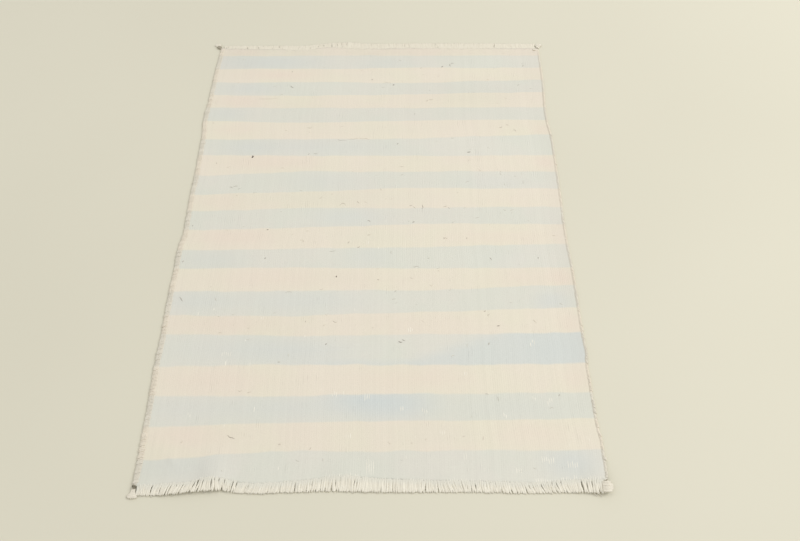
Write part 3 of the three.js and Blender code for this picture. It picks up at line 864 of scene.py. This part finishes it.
SELVEDGE_ENDS = {"left": (0.5, 995), "right": (4.5, 988.5)}
# The size of each edge's section, and how far it stands out past the nominal edge, which fades out between
# two places near the near corners. Then how light each edge's yarn is: the right edge's is darker as
# painted shade, for the shaded side of its bundle.
SELVEDGE_SCALE = {"left": 0.95, "right": 0.45}
SELVEDGE_OUTWARD = {"left": 1.3, "right": 2.4}
OUTWARD_FADES = (975, 1000)
SELVEDGE_TONE_AND_SHADE = {"left": 0.05, "right": -0.5}
# How far in from its outer side the middle of the bundle lies
BUNDLE_MIDDLE = 4
BUNDLE_STATIONS = 160
STITCH_PITCH = 4.9
STITCH_STEPS = 10
# A stitch is painted lighter along its crest than elsewhere, as a painted highlight: by how much, and the
# share of that by which it is painted darker than its yarn elsewhere, as painted shade. Then how far in
# the crest lies, and half its width.
CREST_PAINTED_HIGHLIGHT = {"tone": 0.8, "lowered": 0.4, "inward": 2.4, "half_width": 2.6}
# Where the whipping has worn ragged: side, from, to, and how much more uneven
RAGGED = {"side": "right", "first": 835, "last": 955, "more": 3.2}
WHIP_RADIUS = 1.22
# How far each of a stitch's two yarns lies from its middle
WHIP_ASIDE = 0.55 * 2 * WHIP_RADIUS * 0.86
# A stitch reaches more or less deep into the cloth in this first part of it
DEEPER_UNTIL = 0.35
# How far a bulging stitch goes outward and upward for each part of its bulge
BULGE = {"outward": 4, "up": 2.5}
# How unlike the stitches are: standard deviations, or the least and the most
UNLIKE_STITCHES = {
    "place": 0.35, "bulge": 0.06, "deeper": 0.7, "lead": 0.2, "thick": (0.86, 1.1), "tone": (-0.5, 0.5),
    "yarn_tone": (-0.1, 0.1),
}
# One stitch, from its hole in the cloth over the edge: distance in, height, and lead along the edge
STITCH = table("inward height lead", [
    (10.2, 1.4, 2.4), (9.3, 2.3, 2.0), (7.2, 2.7, 1.6), (4.8, 2.9, 1.0), (2.9, 2.7, 0.5),
    (1.6, 2.1, 0.2), (0.9, 1.45, 0.0), (1.0, 0.95, -0.2), (2.0, 0.75, -0.4),
])
CORE_SECTION = table("inward height", [
    (2.2, 0.0), (1.3, 0.8), (1.5, 1.5), (2.6, 2.3), (4.6, 2.7), (7.4, 2.4), (7.6, 0.0),
])


def bundle_edge(side, inward, from_far):
    """The outer side of the bundle, a little past the nominal edge except at the near corners."""
    fading = 1 - smooth_step((from_far - OUTWARD_FADES[0]) / (OUTWARD_FADES[1] - OUTWARD_FADES[0]))
    return outer_edge(side, from_far) - inward * SELVEDGE_OUTWARD[side] * fading


def selvedge(side):
    """One long edge: the bundle of warps, and the stitches over it."""
    unlike = UNLIKE_STITCHES
    inward = 1 if side == "left" else -1
    scale = SELVEDGE_SCALE[side]
    upright = 0.8 + 0.2 * scale
    first, last = SELVEDGE_ENDS[side]

    # The bundle
    stations = np.linspace(first, last, BUNDLE_STATIONS)
    outer = bundle_edge(side, inward, stations)
    base = lift(outer + inward * BUNDLE_MIDDLE, stations)
    across = outer[:, None] + inward * scale * CORE_SECTION["inward"]
    height = base[:, None] + upright * CORE_SECTION["height"]
    points = np.stack(np.broadcast_arrays(across, stations[:, None], height), -1)
    shape = points.shape[:2]
    faces = tube_faces(0, *shape)
    if side == "left":
        faces = [face[::-1] for face in faces]
    core = (points.reshape(-1, 3), faces, {
        "tone": np.zeros(shape),
        "along": np.broadcast_to(stations[:, None], shape),
        "around": np.broadcast_to(np.arange(shape[1]), shape),
    })

    # The stitches, each of two yarns side by side
    count = int((last - first - 4) / STITCH_PITCH)
    middles = first + 3 + (np.arange(count) + 0.5) * (last - first - 6) / count
    middles += rng.normal(0, unlike["place"], count)
    middles = np.repeat(middles, 2) + np.tile((-WHIP_ASIDE, WHIP_ASIDE), count)
    bulge = np.repeat(rng.normal(0, unlike["bulge"], count), 2)
    deeper = np.repeat(rng.normal(0, unlike["deeper"], count), 2)
    fine = np.linspace(0, 1, STITCH_STEPS)
    rough = np.linspace(0, 1, len(STITCH["inward"]))
    stitch = {key: np.interp(fine, rough, values) for key, values in STITCH.items()}
    lead = np.repeat(rng.normal(0, unlike["lead"], count), 2)[:, None]
    from_far = middles[:, None] - stitch["lead"] * scale + lead
    outer = bundle_edge(side, inward, from_far)
    base = lift(outer + inward * BUNDLE_MIDDLE, from_far)
    worn = (side == RAGGED["side"]) & (from_far > RAGGED["first"]) & (from_far < RAGGED["last"])
    bulge = bulge[:, None] * np.where(worn, RAGGED["more"], 1)
    reach_in = stitch["inward"] + deeper[:, None] * (fine < DEEPER_UNTIL) * (1 - fine / DEEPER_UNTIL)
    bulging = bulge * np.sin(np.pi * fine)
    across = outer + inward * (scale * reach_in - BULGE["outward"] * bulging)
    height = base + upright * stitch["height"] + BULGE["up"] * bulging
    paths = np.stack([across, from_far, height], -1)
    radius = WHIP_RADIUS * rng.uniform(*unlike["thick"], (2 * count, 1)) * np.ones_like(fine)
    radius[:, 0] *= 0.6
    radius[:, -1] *= 0.8
    tone = np.repeat(rng.uniform(*unlike["tone"], count), 2) + rng.uniform(*unlike["yarn_tone"], 2 * count)
    # The right edge's yarn is darkened as painted shade
    tone += SELVEDGE_TONE_AND_SHADE[side]
    stitches = yarns(paths, radius, tone, 7, turns_per_mm=0.1, seen_from=(0, 1, 0), squash=(0.72, 1.12))
    # Painted highlight along each stitch's crest, and painted shade on the rest of it
    painted_crest_highlight = bell((stitch["inward"] - CREST_PAINTED_HIGHLIGHT["inward"]) / CREST_PAINTED_HIGHLIGHT["half_width"]) - CREST_PAINTED_HIGHLIGHT["lowered"]
    stitches[2]["tone"] = stitches[2]["tone"] + (CREST_PAINTED_HIGHLIGHT["tone"] * painted_crest_highlight)[:, None]
    for points, _, attributes in (core, stitches):
        attributes["beside_blue"] = beside_blue(stripe_at(0.0 if side == "left" else 1.0, points[:, 1]))
    return yarn_piece(f"{side}_whipped_edge", [core, stitches], whipping)


selvedges = {side: selvedge(side) for side in ("left", "right")}

# The corner tails: yarn bound with dark wool at the neck, that spreads in a soft rounded lump

# For each tail: where its bundle starts and where the neck ends, the lump's middle, half size, lowest
# height and how tall it is, and the binding's turns, each at a share of the neck and with a half width
# Each binding's tone is lighter at the far corners, where the shade it paints is paler
TAILS = {
    "near_left": {
        "neck": ((0.3, 993.5), (-1.2, 1006.0)), "lump": (-1.6, 1011.6), "half": (8.6, 4.2),
        "raised": 0.0, "tall": 2.4, "binding": ((0.24, 3.4), (0.38, 2.0), (0.5, 1.4)), "binding_tone_and_shade": 0.0,
    },
    "near_right": {
        "neck": ((684.5, 987.0), (687.0, 992.5)), "lump": (688.0, 999.6), "half": (6.6, 8.2),
        "raised": 5.4, "tall": 2.4, "binding": ((0.3, 1.8),), "binding_tone_and_shade": 0.3,
    },
    "far_left": {
        "neck": ((4.5, 1.5), (-3.2, -5.0)), "lump": (-3.0, -9.6), "half": (7.6, 3.8),
        "raised": 0.0, "tall": 2.6, "binding": ((0.05, 2.6), (0.3, 3.2), (0.55, 3.4), (0.8, 2.8)),
        "binding_tone_and_shade": 0.9,
    },
    "far_right": {
        "neck": ((676.5, 3.0), (678.5, -4.0)), "lump": (681.0, -9.6), "half": (7.6, 3.8),
        "raised": 0.0, "tall": 3.0, "binding": ((0.3, 2.5),), "binding_tone_and_shade": 0.8,
    },
}
TAIL_YARNS = 34
TAIL_STEPS = 20
# How far the yarns fan out from the neck to each side, in degrees
TAIL_SPREAD = 118
# Half the width of the bundle of yarns where it starts and at the neck
BUNDLE_HALF = {"start": 1.5, "neck": 1.7}
# How far out in the lump the yarns end, as shares of its half size
YARN_ENDS = (0.62, 0.93)
TAIL_RADII = (0.75, 1.05)
BINDING_RADIUS = 0.95
BINDING_STEPS = 17
# The inside of a lump, from the floor up, as shares of its half size and height
FILLING = table("reach height", [(0.58, 0.05), (0.66, 0.28), (0.58, 0.52), (0.36, 0.7), (0.13, 0.76)])
FILLING_SIDES = 20
# The ripples are read off no further than this from the far end
NEAR_ROOTS = 1000.0
# A loose loop of the same yarn on the cloth beside one corner
STRAY_LOOP = {"corner": "far_right", "at": (671.0, 6.0), "half": (3.2, 2.6), "radius": 0.95}
# One tail has turns of its own yarn laid across it: where each runs from and to
CROSS_TURNS = {
    "corner": "near_right", "across": (678.6, 690.6), "from_far": (991.5, 1006.0),
    "count": 9, "radius": 1.15,
}


def tail_filling(middle, half, raised, tall):
    """The inside of a lump, a low dome under its yarns, as (points, faces, attributes)."""
    angle = np.linspace(0, 2 * np.pi, FILLING_SIDES, endpoint=False)
    points = [
        [middle[0] + half[0] * reach * x, middle[1] + half[1] * reach * y, raised + height]
        for reach, height in zip(FILLING["reach"], tall * FILLING["height"])
        for x, y in zip(np.cos(angle), np.sin(angle))
    ]
    faces = [face[::-1] for face in tube_faces(0, len(FILLING["reach"]), FILLING_SIDES)]
    blank = np.zeros(len(points))
    return np.array(points), faces, {"tone": blank + 0.2, "along": blank, "around": blank}


def corner_tail(name, neck, lump, half, raised, tall, **_):
    """The yarns of one tail: each a cubic curve from the bundle, through the neck, into the lump."""
    start, end, middle = (np.array(place_of, float) for place_of in (*neck, lump))
    away = (middle - end) / np.linalg.norm(middle - end)
    aside = np.array([-away[1], away[0]])
    order = np.linspace(-1, 1, TAIL_YARNS)
    rng.shuffle(order)
    turn = np.radians(TAIL_SPREAD * order + rng.normal(0, 5, TAIL_YARNS))[:, None]
    inside = rng.uniform(*YARN_ENDS, (TAIL_YARNS, 1))
    rim = (np.cos(turn) * away + np.sin(turn) * aside) * half * inside
    sweep = (-np.sin(turn) * away + np.cos(turn) * aside) * half
    begin = start + aside * (order * BUNDLE_HALF["start"])[:, None]
    second = end + aside * (order * BUNDLE_HALF["neck"])[:, None]
    third = middle + 0.7 * rim - 0.3 * sweep + rng.normal(0, 0.4, (TAIL_YARNS, 2))
    finish = middle + rim + 0.2 * sweep * np.sign(order)[:, None]
    part = np.linspace(0, 1, TAIL_STEPS)[:, None, None]
    plan = (
        (1 - part) ** 3 * begin + 3 * (1 - part) ** 2 * part * second
        + 3 * (1 - part) * part**2 * third + part**3 * finish
    ).transpose(1, 0, 2)
    part = part[:, 0, 0]
    radius = rng.uniform(*TAIL_RADII, (TAIL_YARNS, 1)) * np.ones_like(part)
    radius[:, -1] *= 0.8
    base = lift(plan[..., 0], np.minimum(plan[..., 1], NEAR_ROOTS)) * (1 - smooth_step(part * 1.2))
    dome = np.clip(1 - (np.linalg.norm((plan - middle) / half, axis=-1)) ** 2, 0, 1) ** 0.5
    low = 1 - inside * 0.9
    height = np.maximum(base, raised) + radius + (0.9 + low) * dome * (tall - 1.4)
    height = np.where(part < 0.3, np.maximum(height, base + 1.4), height)
    paths = np.concatenate([plan, height[..., None]], -1)
    strands = yarns(paths, radius, rng.uniform(-0.1, 0.6, TAIL_YARNS), sides=7)
    parts = [strands, tail_filling(middle, half, raised, tall)]
    if name == STRAY_LOOP["corner"]:
        angle = np.linspace(0.4, 5.2, TAIL_STEPS)
        (x, y), (half_x, half_y) = STRAY_LOOP["at"], STRAY_LOOP["half"]
        x, y = x + half_x * np.cos(angle), y + half_y * np.sin(angle)
        loop = np.stack([x, y, CLOTH_THICKNESS + 1.0 + 0.8 * np.sin(angle)], -1)[None]
        parts.append(yarns(loop, np.full(loop.shape[:2], STRAY_LOOP["radius"]), np.array([0.6])))
    if name == CROSS_TURNS["corner"]:
        share = np.linspace(0, 1, TAIL_STEPS)
        row = np.linspace(*CROSS_TURNS["from_far"], CROSS_TURNS["count"])[:, None]
        left, right = CROSS_TURNS["across"]
        x = left + (right - left) * share + 0 * row
        y = row + 0.9 * np.sin(np.pi * share) + rng.normal(0, 0.15, (len(row), 1))
        z = raised + 1.0 + (tall - 0.4) * np.sin(np.pi * (0.1 + 0.76 * share)) + 0 * row
        turns = np.stack([x, y, z], -1)
        radius = np.full(turns.shape[:2], CROSS_TURNS["radius"])
        parts.append(yarns(turns, radius, rng.uniform(0.1, 0.7, len(row))))
    return yarn_piece(f"{name}_tail_yarns", parts, tail_yarn)


def neck_binding(name, neck, binding, binding_tone_and_shade, **_):
    """Turns of dark wool round the tail's neck, whose darkness is partly painted shade for the deep gap at
    each corner.
    """
    start, end = (np.array(place_of, float) for place_of in neck)
    along = (end - start) / np.linalg.norm(end - start)
    aside = np.array([-along[1], along[0]])
    angle = np.linspace(0, 2 * np.pi, BINDING_STEPS)
    turns = []
    for share, half_width in binding:
        at = start + share * (end - start)
        base = float(lift(at[0], min(at[1], NEAR_ROOTS)))
        flat = at + np.outer(half_width * np.cos(angle), aside) + np.outer(0.4 * angle / np.pi, along)
        height = base * (1 - 0.5 * share) + 1.9 + 1.7 * np.sin(angle) + rng.normal(0, 0.1, len(angle))
        turns.append(np.concatenate([flat, height[:, None]], -1))
    paths = np.stack(turns)
    radius = np.full(paths.shape[:2], BINDING_RADIUS)
    tone = binding_tone_and_shade + rng.uniform(-0.3, 0.3, len(turns))
    wound = yarns(paths, radius, tone, seen_from=(*along, 0))
    return yarn_piece(f"{name}_neck_binding", [wound], dark_wool_and_shade)


tails = {name: corner_tail(name, **facts) for name, facts in TAILS.items()}
knots = {name: neck_binding(name, **facts) for name, facts in TAILS.items()}

# Dark slubs and stray threads that the wefts caught up: place, length, heading, width and darkness
FLECK_COLUMNS = "across from_far long heading width dark"
FLECKS = table(FLECK_COLUMNS, [
    (103, 325, 7.5, 80, 3.2, 1.0), (276, 613, 3.4, 70, 2.4, 0.95), (425, 453, 11, 88, 1.3, 0.7),
    (380, 289, 4.5, 60, 1.8, 0.7), (517, 312, 8, 8, 2.0, 0.8), (474, 61, 6, 60, 2.4, 0.75),
    (490, 56, 9, 100, 1.6, 0.7), (495, 52, 7, 20, 1.6, 0.65), (372, 118, 4.6, 45, 3.0, 0.75),
    (359, 114, 18, 4, 1.0, 0.4), (328, 102, 4.4, 20, 2.6, 0.6), (165, 124, 9, 130, 2.4, 0.6),
    (162, 77, 4, 80, 2.2, 0.55), (386, 745.5, 7, 160, 1.7, 0.85), (266, 751, 3.4, 60, 2.2, 0.7),
    (391, 743, 6, 150, 1.5, 0.7), (529, 750, 5, 80, 2.2, 0.55), (131, 917, 14, 155, 1.2, 0.75),
    (14, 498, 3.6, 90, 2.0, 0.6), (9, 580, 5, 80, 2.0, 0.6), (37, 342, 5, 95, 1.6, 0.5),
    (149, 507, 3.4, 10, 2.2, 0.75), (150, 572, 3.6, 60, 2.2, 0.65), (72, 406, 7, 160, 1.5, 0.6),
    (80, 403, 8, 12, 1.5, 0.6), (88, 409, 5, 40, 1.3, 0.5), (272, 278, 20, 172, 0.9, 0.5),
    (294, 275, 24, 8, 0.9, 0.5), (316, 277, 20, 174, 0.9, 0.5), (224, 316, 9, 165, 1.3, 0.6),
    (211, 318, 6, 70, 1.4, 0.6), (281, 450, 12, 4, 1.2, 0.55), (309, 441, 8, 130, 1.3, 0.5),
    (405, 450, 7, 20, 1.5, 0.5), (411, 455, 6, 140, 1.3, 0.45), (468, 452, 8, 15, 1.4, 0.5),
    (474, 456, 6, 130, 1.4, 0.5), (410, 490, 5, 40, 2.0, 0.7), (329, 488, 6, 150, 1.8, 0.6),
    (294, 537, 6, 60, 1.5, 0.6), (213, 534, 6, 100, 1.3, 0.45), (464, 526, 4.6, 10, 2.0, 0.6),
    (504, 527, 5, 70, 1.5, 0.55), (267, 556, 12, 12, 1.5, 0.4), (312, 547, 5, 45, 1.8, 0.55),
    (413, 593, 12, 4, 1.8, 0.4), (543, 574, 7, 120, 1.6, 0.6), (626, 572, 4, 80, 1.8, 0.65),
    (348, 620, 5, 150, 1.6, 0.55), (378, 645, 5, 40, 1.5, 0.5), (375, 661, 7, 20, 1.3, 0.45),
    (278, 706, 8, 155, 1.3, 0.55), (229, 706, 4, 70, 1.8, 0.5), (547, 715, 5, 20, 2.2, 0.7),
    (607, 706, 8, 130, 1.2, 0.5), (526, 685, 4, 30, 1.8, 0.6), (533, 694, 5, 60, 1.5, 0.5),
    (197, 647, 12, 3, 1.0, 0.5), (17, 661, 12, 125, 1.4, 0.7), (76, 661, 8, 110, 1.2, 0.45),
    (537, 852, 8, 100, 1.2, 0.5), (633, 845, 4, 60, 1.8, 0.6), (520, 844, 6, 165, 1.3, 0.5),
    (192, 785, 5, 10, 1.8, 0.45), (205, 930, 4, 20, 2.0, 0.45), (251, 936, 5, 50, 1.4, 0.45),
    (510, 919, 8, 80, 1.2, 0.45), (583, 243, 7, 20, 1.8, 0.55), (609, 254, 7, 140, 1.6, 0.5),
    (596, 238, 6, 160, 1.4, 0.45), (628, 119, 6, 60, 1.6, 0.6), (448, 162, 10, 8, 1.5, 0.4),
    (440, 166, 6, 40, 1.8, 0.5), (415, 205, 5, 80, 1.8, 0.5), (615, 391, 10, 85, 1.3, 0.45),
    (574, 370, 7, 110, 1.4, 0.4), (386, 40, 5, 20, 1.8, 0.45), (642, 57, 7, 60, 3.2, 0.35),
    (429, 65, 5, 60, 1.6, 0.5), (208, 243, 12, 10, 1.3, 0.45), (600, 160, 5, 60, 1.5, 0.4),
    (120, 160, 40, 3, 0.8, 0.3), (150, 840, 7, 20, 1.4, 0.35), (470, 640, 6, 60, 1.3, 0.35),
    (240, 430, 8, 40, 1.2, 0.4), (350, 410, 6, 120, 1.3, 0.4), (330, 520, 7, 15, 1.3, 0.45),
    (370, 560, 6, 80, 1.3, 0.4),
])
FAINT_FLECKS = 120
FLECK_STEPS = 9
FLECK_FIBRE_DEPTH = 0.0002
# How far dark flecks bend to one side and kink, as shares of their length, and how high flecks lie
FLECK_BEND = 0.16
FLECK_KINK = 0.03
FLECK_RISE = {"dark": 0.05, "light": -0.06}
# Warps that stand proud and light for a few wefts: the middle of each group, how many, and how long
LIGHT_WARPS = table("across from_far count long", [
    (106, 770, 5, 9), (107, 786, 1, 10), (146, 789, 1, 11), (134, 743, 1, 6), (157, 700, 2, 9),
    (161, 873, 1, 14), (125, 829, 1, 5), (50, 690, 1, 7), (75, 681, 1, 6), (62, 881, 2, 6),
    (230, 737, 1, 6), (600, 748, 3, 10), (489, 806, 2, 8), (532, 803, 1, 8), (546, 880, 2, 10),
    (617, 855, 3, 10), (637, 932, 2, 9), (604, 955, 6, 12), (668, 919, 2, 7), (591, 806, 2, 7),
    (593, 850, 2, 9), (328, 538, 2, 11), (347, 549, 1, 10), (283, 843, 3, 10), (297, 843, 1, 9),
    (334, 848, 3, 16), (388, 868, 2, 11), (423, 874, 3, 10), (307, 917, 3, 9), (341, 966, 4, 30),
    (408, 917, 1, 6), (449, 909, 3, 9), (394, 950, 1, 9), (482, 950, 2, 14), (640, 962, 5, 14),
    (309, 683, 1, 8), (402, 723, 3, 11), (206, 968, 1, 8), (560, 972, 3, 10), (118, 900, 1, 6),
])
# Where the last wefts have slipped and the warps show above the fringe, and how far
LOOSENED = table("first last long", [
    (88, 124, 4), (276, 324, 6), (395, 432, 4), (455, 506, 5), (584, 640, 7), (640, 680, 10),
])


def fleck_rows():
    """Every fleck's place, length, heading, width and tone. Tone is dark above 0 and light below it."""
    faint = (
        rng.uniform(16, 668, FAINT_FLECKS),
        rng.uniform(12, 975, FAINT_FLECKS),
        rng.uniform(2.5, 8, FAINT_FLECKS),
        rng.uniform(0, 180, FAINT_FLECKS) * rng.choice((0.15, 1), FAINT_FLECKS),
        rng.uniform(0.9, 1.7, FAINT_FLECKS),
        rng.uniform(0.0, 0.3, FAINT_FLECKS),
    )
    light = []
    for x, y, group, long in zip(*LIGHT_WARPS.values()):
        for warps_aside in np.arange(group) - (group - 1) / 2:
            light.append((
                x + warps_aside * WARP_PITCH, y + rng.normal(0, 1.2), long * rng.uniform(0.7, 1.1),
                90 + rng.normal(0, 1.2), rng.uniform(1.1, 1.6), -rng.uniform(0.4, 0.9),
            ))
    for first, last, long in zip(*LOOSENED.values()):
        for x in np.arange(first, last, WARP_PITCH):
            longer = long * rng.uniform(0.5, 1.3)
            light.append((
                x + rng.normal(0, 0.3), float(ends["near"]["root"](x)) - longer / 2 + 0.5, longer,
                90 + rng.normal(0, 2), rng.uniform(0.9, 1.4), -rng.uniform(0.3, 1.0),
            ))
    light = np.array(light).T
    return {key: np.concatenate(rows) for key, *rows in zip(FLECKS, FLECKS.values(), faint, light)}


def flecks():
    """Thin raised marks that lie on the weave, thickest in the middle."""
    rows = fleck_rows()
    count = len(rows["long"])
    part = np.linspace(-0.5, 0.5, FLECK_STEPS)
    heading = np.radians(rows["heading"])[:, None]
    light = rows["dark"] < 0
    curve = rng.normal(0, FLECK_BEND, (count, 1)) * (0.25 - part**2) * 4 * ~light[:, None]
    kink = rng.normal(0, FLECK_KINK, (count, 1)) * np.sin(3 * np.pi * part) * ~light[:, None]
    ahead, aside = rows["long"][:, None] * part, rows["long"][:, None] * (curve + kink)
    across = rows["across"][:, None] + ahead * np.cos(heading) - aside * np.sin(heading)
    from_far = rows["from_far"][:, None] - ahead * np.sin(heading) - aside * np.cos(heading)
    radius = 0.5 * rows["width"][:, None] * (0.12 + 0.88 * np.clip(1 - (2 * part) ** 2, 0, 1))
    rise = np.where(light[:, None], FLECK_RISE["light"], FLECK_RISE["dark"] + 0.1 * radius)
    height = surface_height(across, from_far) + rise
    paths = np.stack([across, from_far, height], -1)
    shares = np.clip(rows["across"] / NOMINAL_WIDTH, 0, 1)
    blue = beside_blue(np.array([stripe_at(share, y) for share, y in zip(shares, rows["from_far"])]))
    groups = []
    for group, squash in ((~light, (1.1, 0.55)), (light, (1, 0.45))):
        made = yarns(paths[group], radius[group], rows["dark"][group], sides=6, plies=1, squash=squash)
        made[2]["beside_blue"] = np.broadcast_to(blue[group][:, None, None], made[2]["tone"].shape)
        groups.append(made)
    return yarn_piece("slubs", groups, fleck_material())


def fleck_material():
    """Dark wool where a fleck is strong, fading to the cloth's own colour or a light one."""
    g = Graph("slub_wool")
    tone = g.attribute("tone")
    fibre_at = g.vector(g.attribute("around"), g.attribute("along"), g.times(tone, 30.0))
    fibre = g.noise(fibre_at, 1.4, 3.0, 0.65)
    own = g.mix(g.attribute("beside_blue"), linear(222, 213, 196), linear(215, 213, 201))
    own = g.mix(g.times(tone, -1.1), own, linear(243, 239, 226))
    share = g.maths("POWER", g.maths("MAXIMUM", tone, 0.0), 2.2)
    colour = g.mix(share, own, linear(98, 88, 77))
    colour = g.mix(g.ramp(fibre, 0.3, 0.75, 0.0, 0.2), colour, linear(205, 198, 184))
    return g.finish(colour, g.wool_roughness(fibre), g.bump(fibre, 0.5, FLECK_FIBRE_DEPTH), 0.1)


slubs = flecks()

# What each piece stands for

every_piece = [cloth, slubs, *fringes.values(), *selvedges.values(), *tails.values(), *knots.values()]
for piece in every_piece:
    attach(piece, "root")
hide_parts("woven_cloth")
for end, piece in fringes.items():
    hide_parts(f"fringe_{end}")
for side, piece in selvedges.items():
    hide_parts(f"selvedge_{side}")
for name, piece in tails.items():
    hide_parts(f"corner_tail_{name}")

# Floor, light and camera

FLOOR_SIZE = 14.0


def pale_floor():
    g = Graph("pale_floor")
    where = g.node("ShaderNodeTexCoord", {}).outputs["Object"]
    cloud = g.noise(where, 1.2, 2.0)
    colour = g.mix(g.ramp(cloud, 0.3, 0.7), linear(212, 208, 190), linear(215, 211, 193))
    grain = g.noise(where, 260.0, 2.0)
    material = g.finish(colour, 0.62, g.bump(grain, 0.08, 0.0002), 0.0, 0.3)
    half = FLOOR_SIZE / 2
    corners = [(-half, -half, 0), (half, -half, 0), (half, half, 0), (-half, half, 0)]
    return new_piece("floor", corners, [(0, 1, 2, 3)], {}, material)


pale_floor()


def set_up(name, data, at, turn):
    """An object for a light or a camera, in its place."""
    made = bpy.data.objects.new(name, data)
    made.location = at
    made.rotation_euler = turn
    bpy.context.scene.collection.objects.link(made)
    return made


# One broad soft light off to the right, and the light of a pale room
WINDOW = {"at": (3.5, 0.58, 3.27), "size": 2.3, "watts": 95, "colour": (1.0, 0.99, 0.975)}
ROOM = {"colour": (1.0, 0.995, 0.98, 1), "strength": 0.83}
lamp = bpy.data.lights.new("window", "AREA")
lamp.shape = "SQUARE"
lamp.size = WINDOW["size"]
lamp.energy = WINDOW["watts"]
lamp.color = WINDOW["colour"]
set_up("window", lamp, WINDOW["at"], (-Vector(WINDOW["at"])).to_track_quat("-Z", "Y").to_euler())

world = bpy.data.worlds.new("soft_room")
world.use_nodes = True
backdrop = world.node_tree.nodes["Background"].inputs
backdrop["Color"].default_value = ROOM["colour"]
backdrop["Strength"].default_value = ROOM["strength"]
bpy.context.scene.world = world
bpy.context.scene.view_settings.view_transform = "Standard"

# The camera looks along the mat's length from above its near end
CAMERA = {"across": 385.2, "from_far": 1549.7, "height": 1227.1, "tilt": 37.795, "lens": 40.5}
camera = bpy.data.cameras.new("camera")
camera.lens = CAMERA["lens"]
camera.sensor_width = 36.0
camera.sensor_fit = "HORIZONTAL"
eye = place(CAMERA["across"], CAMERA["from_far"], CAMERA["height"])
bpy.context.scene.camera = set_up("camera", camera, eye, (np.radians(CAMERA["tilt"]), 0, 0))
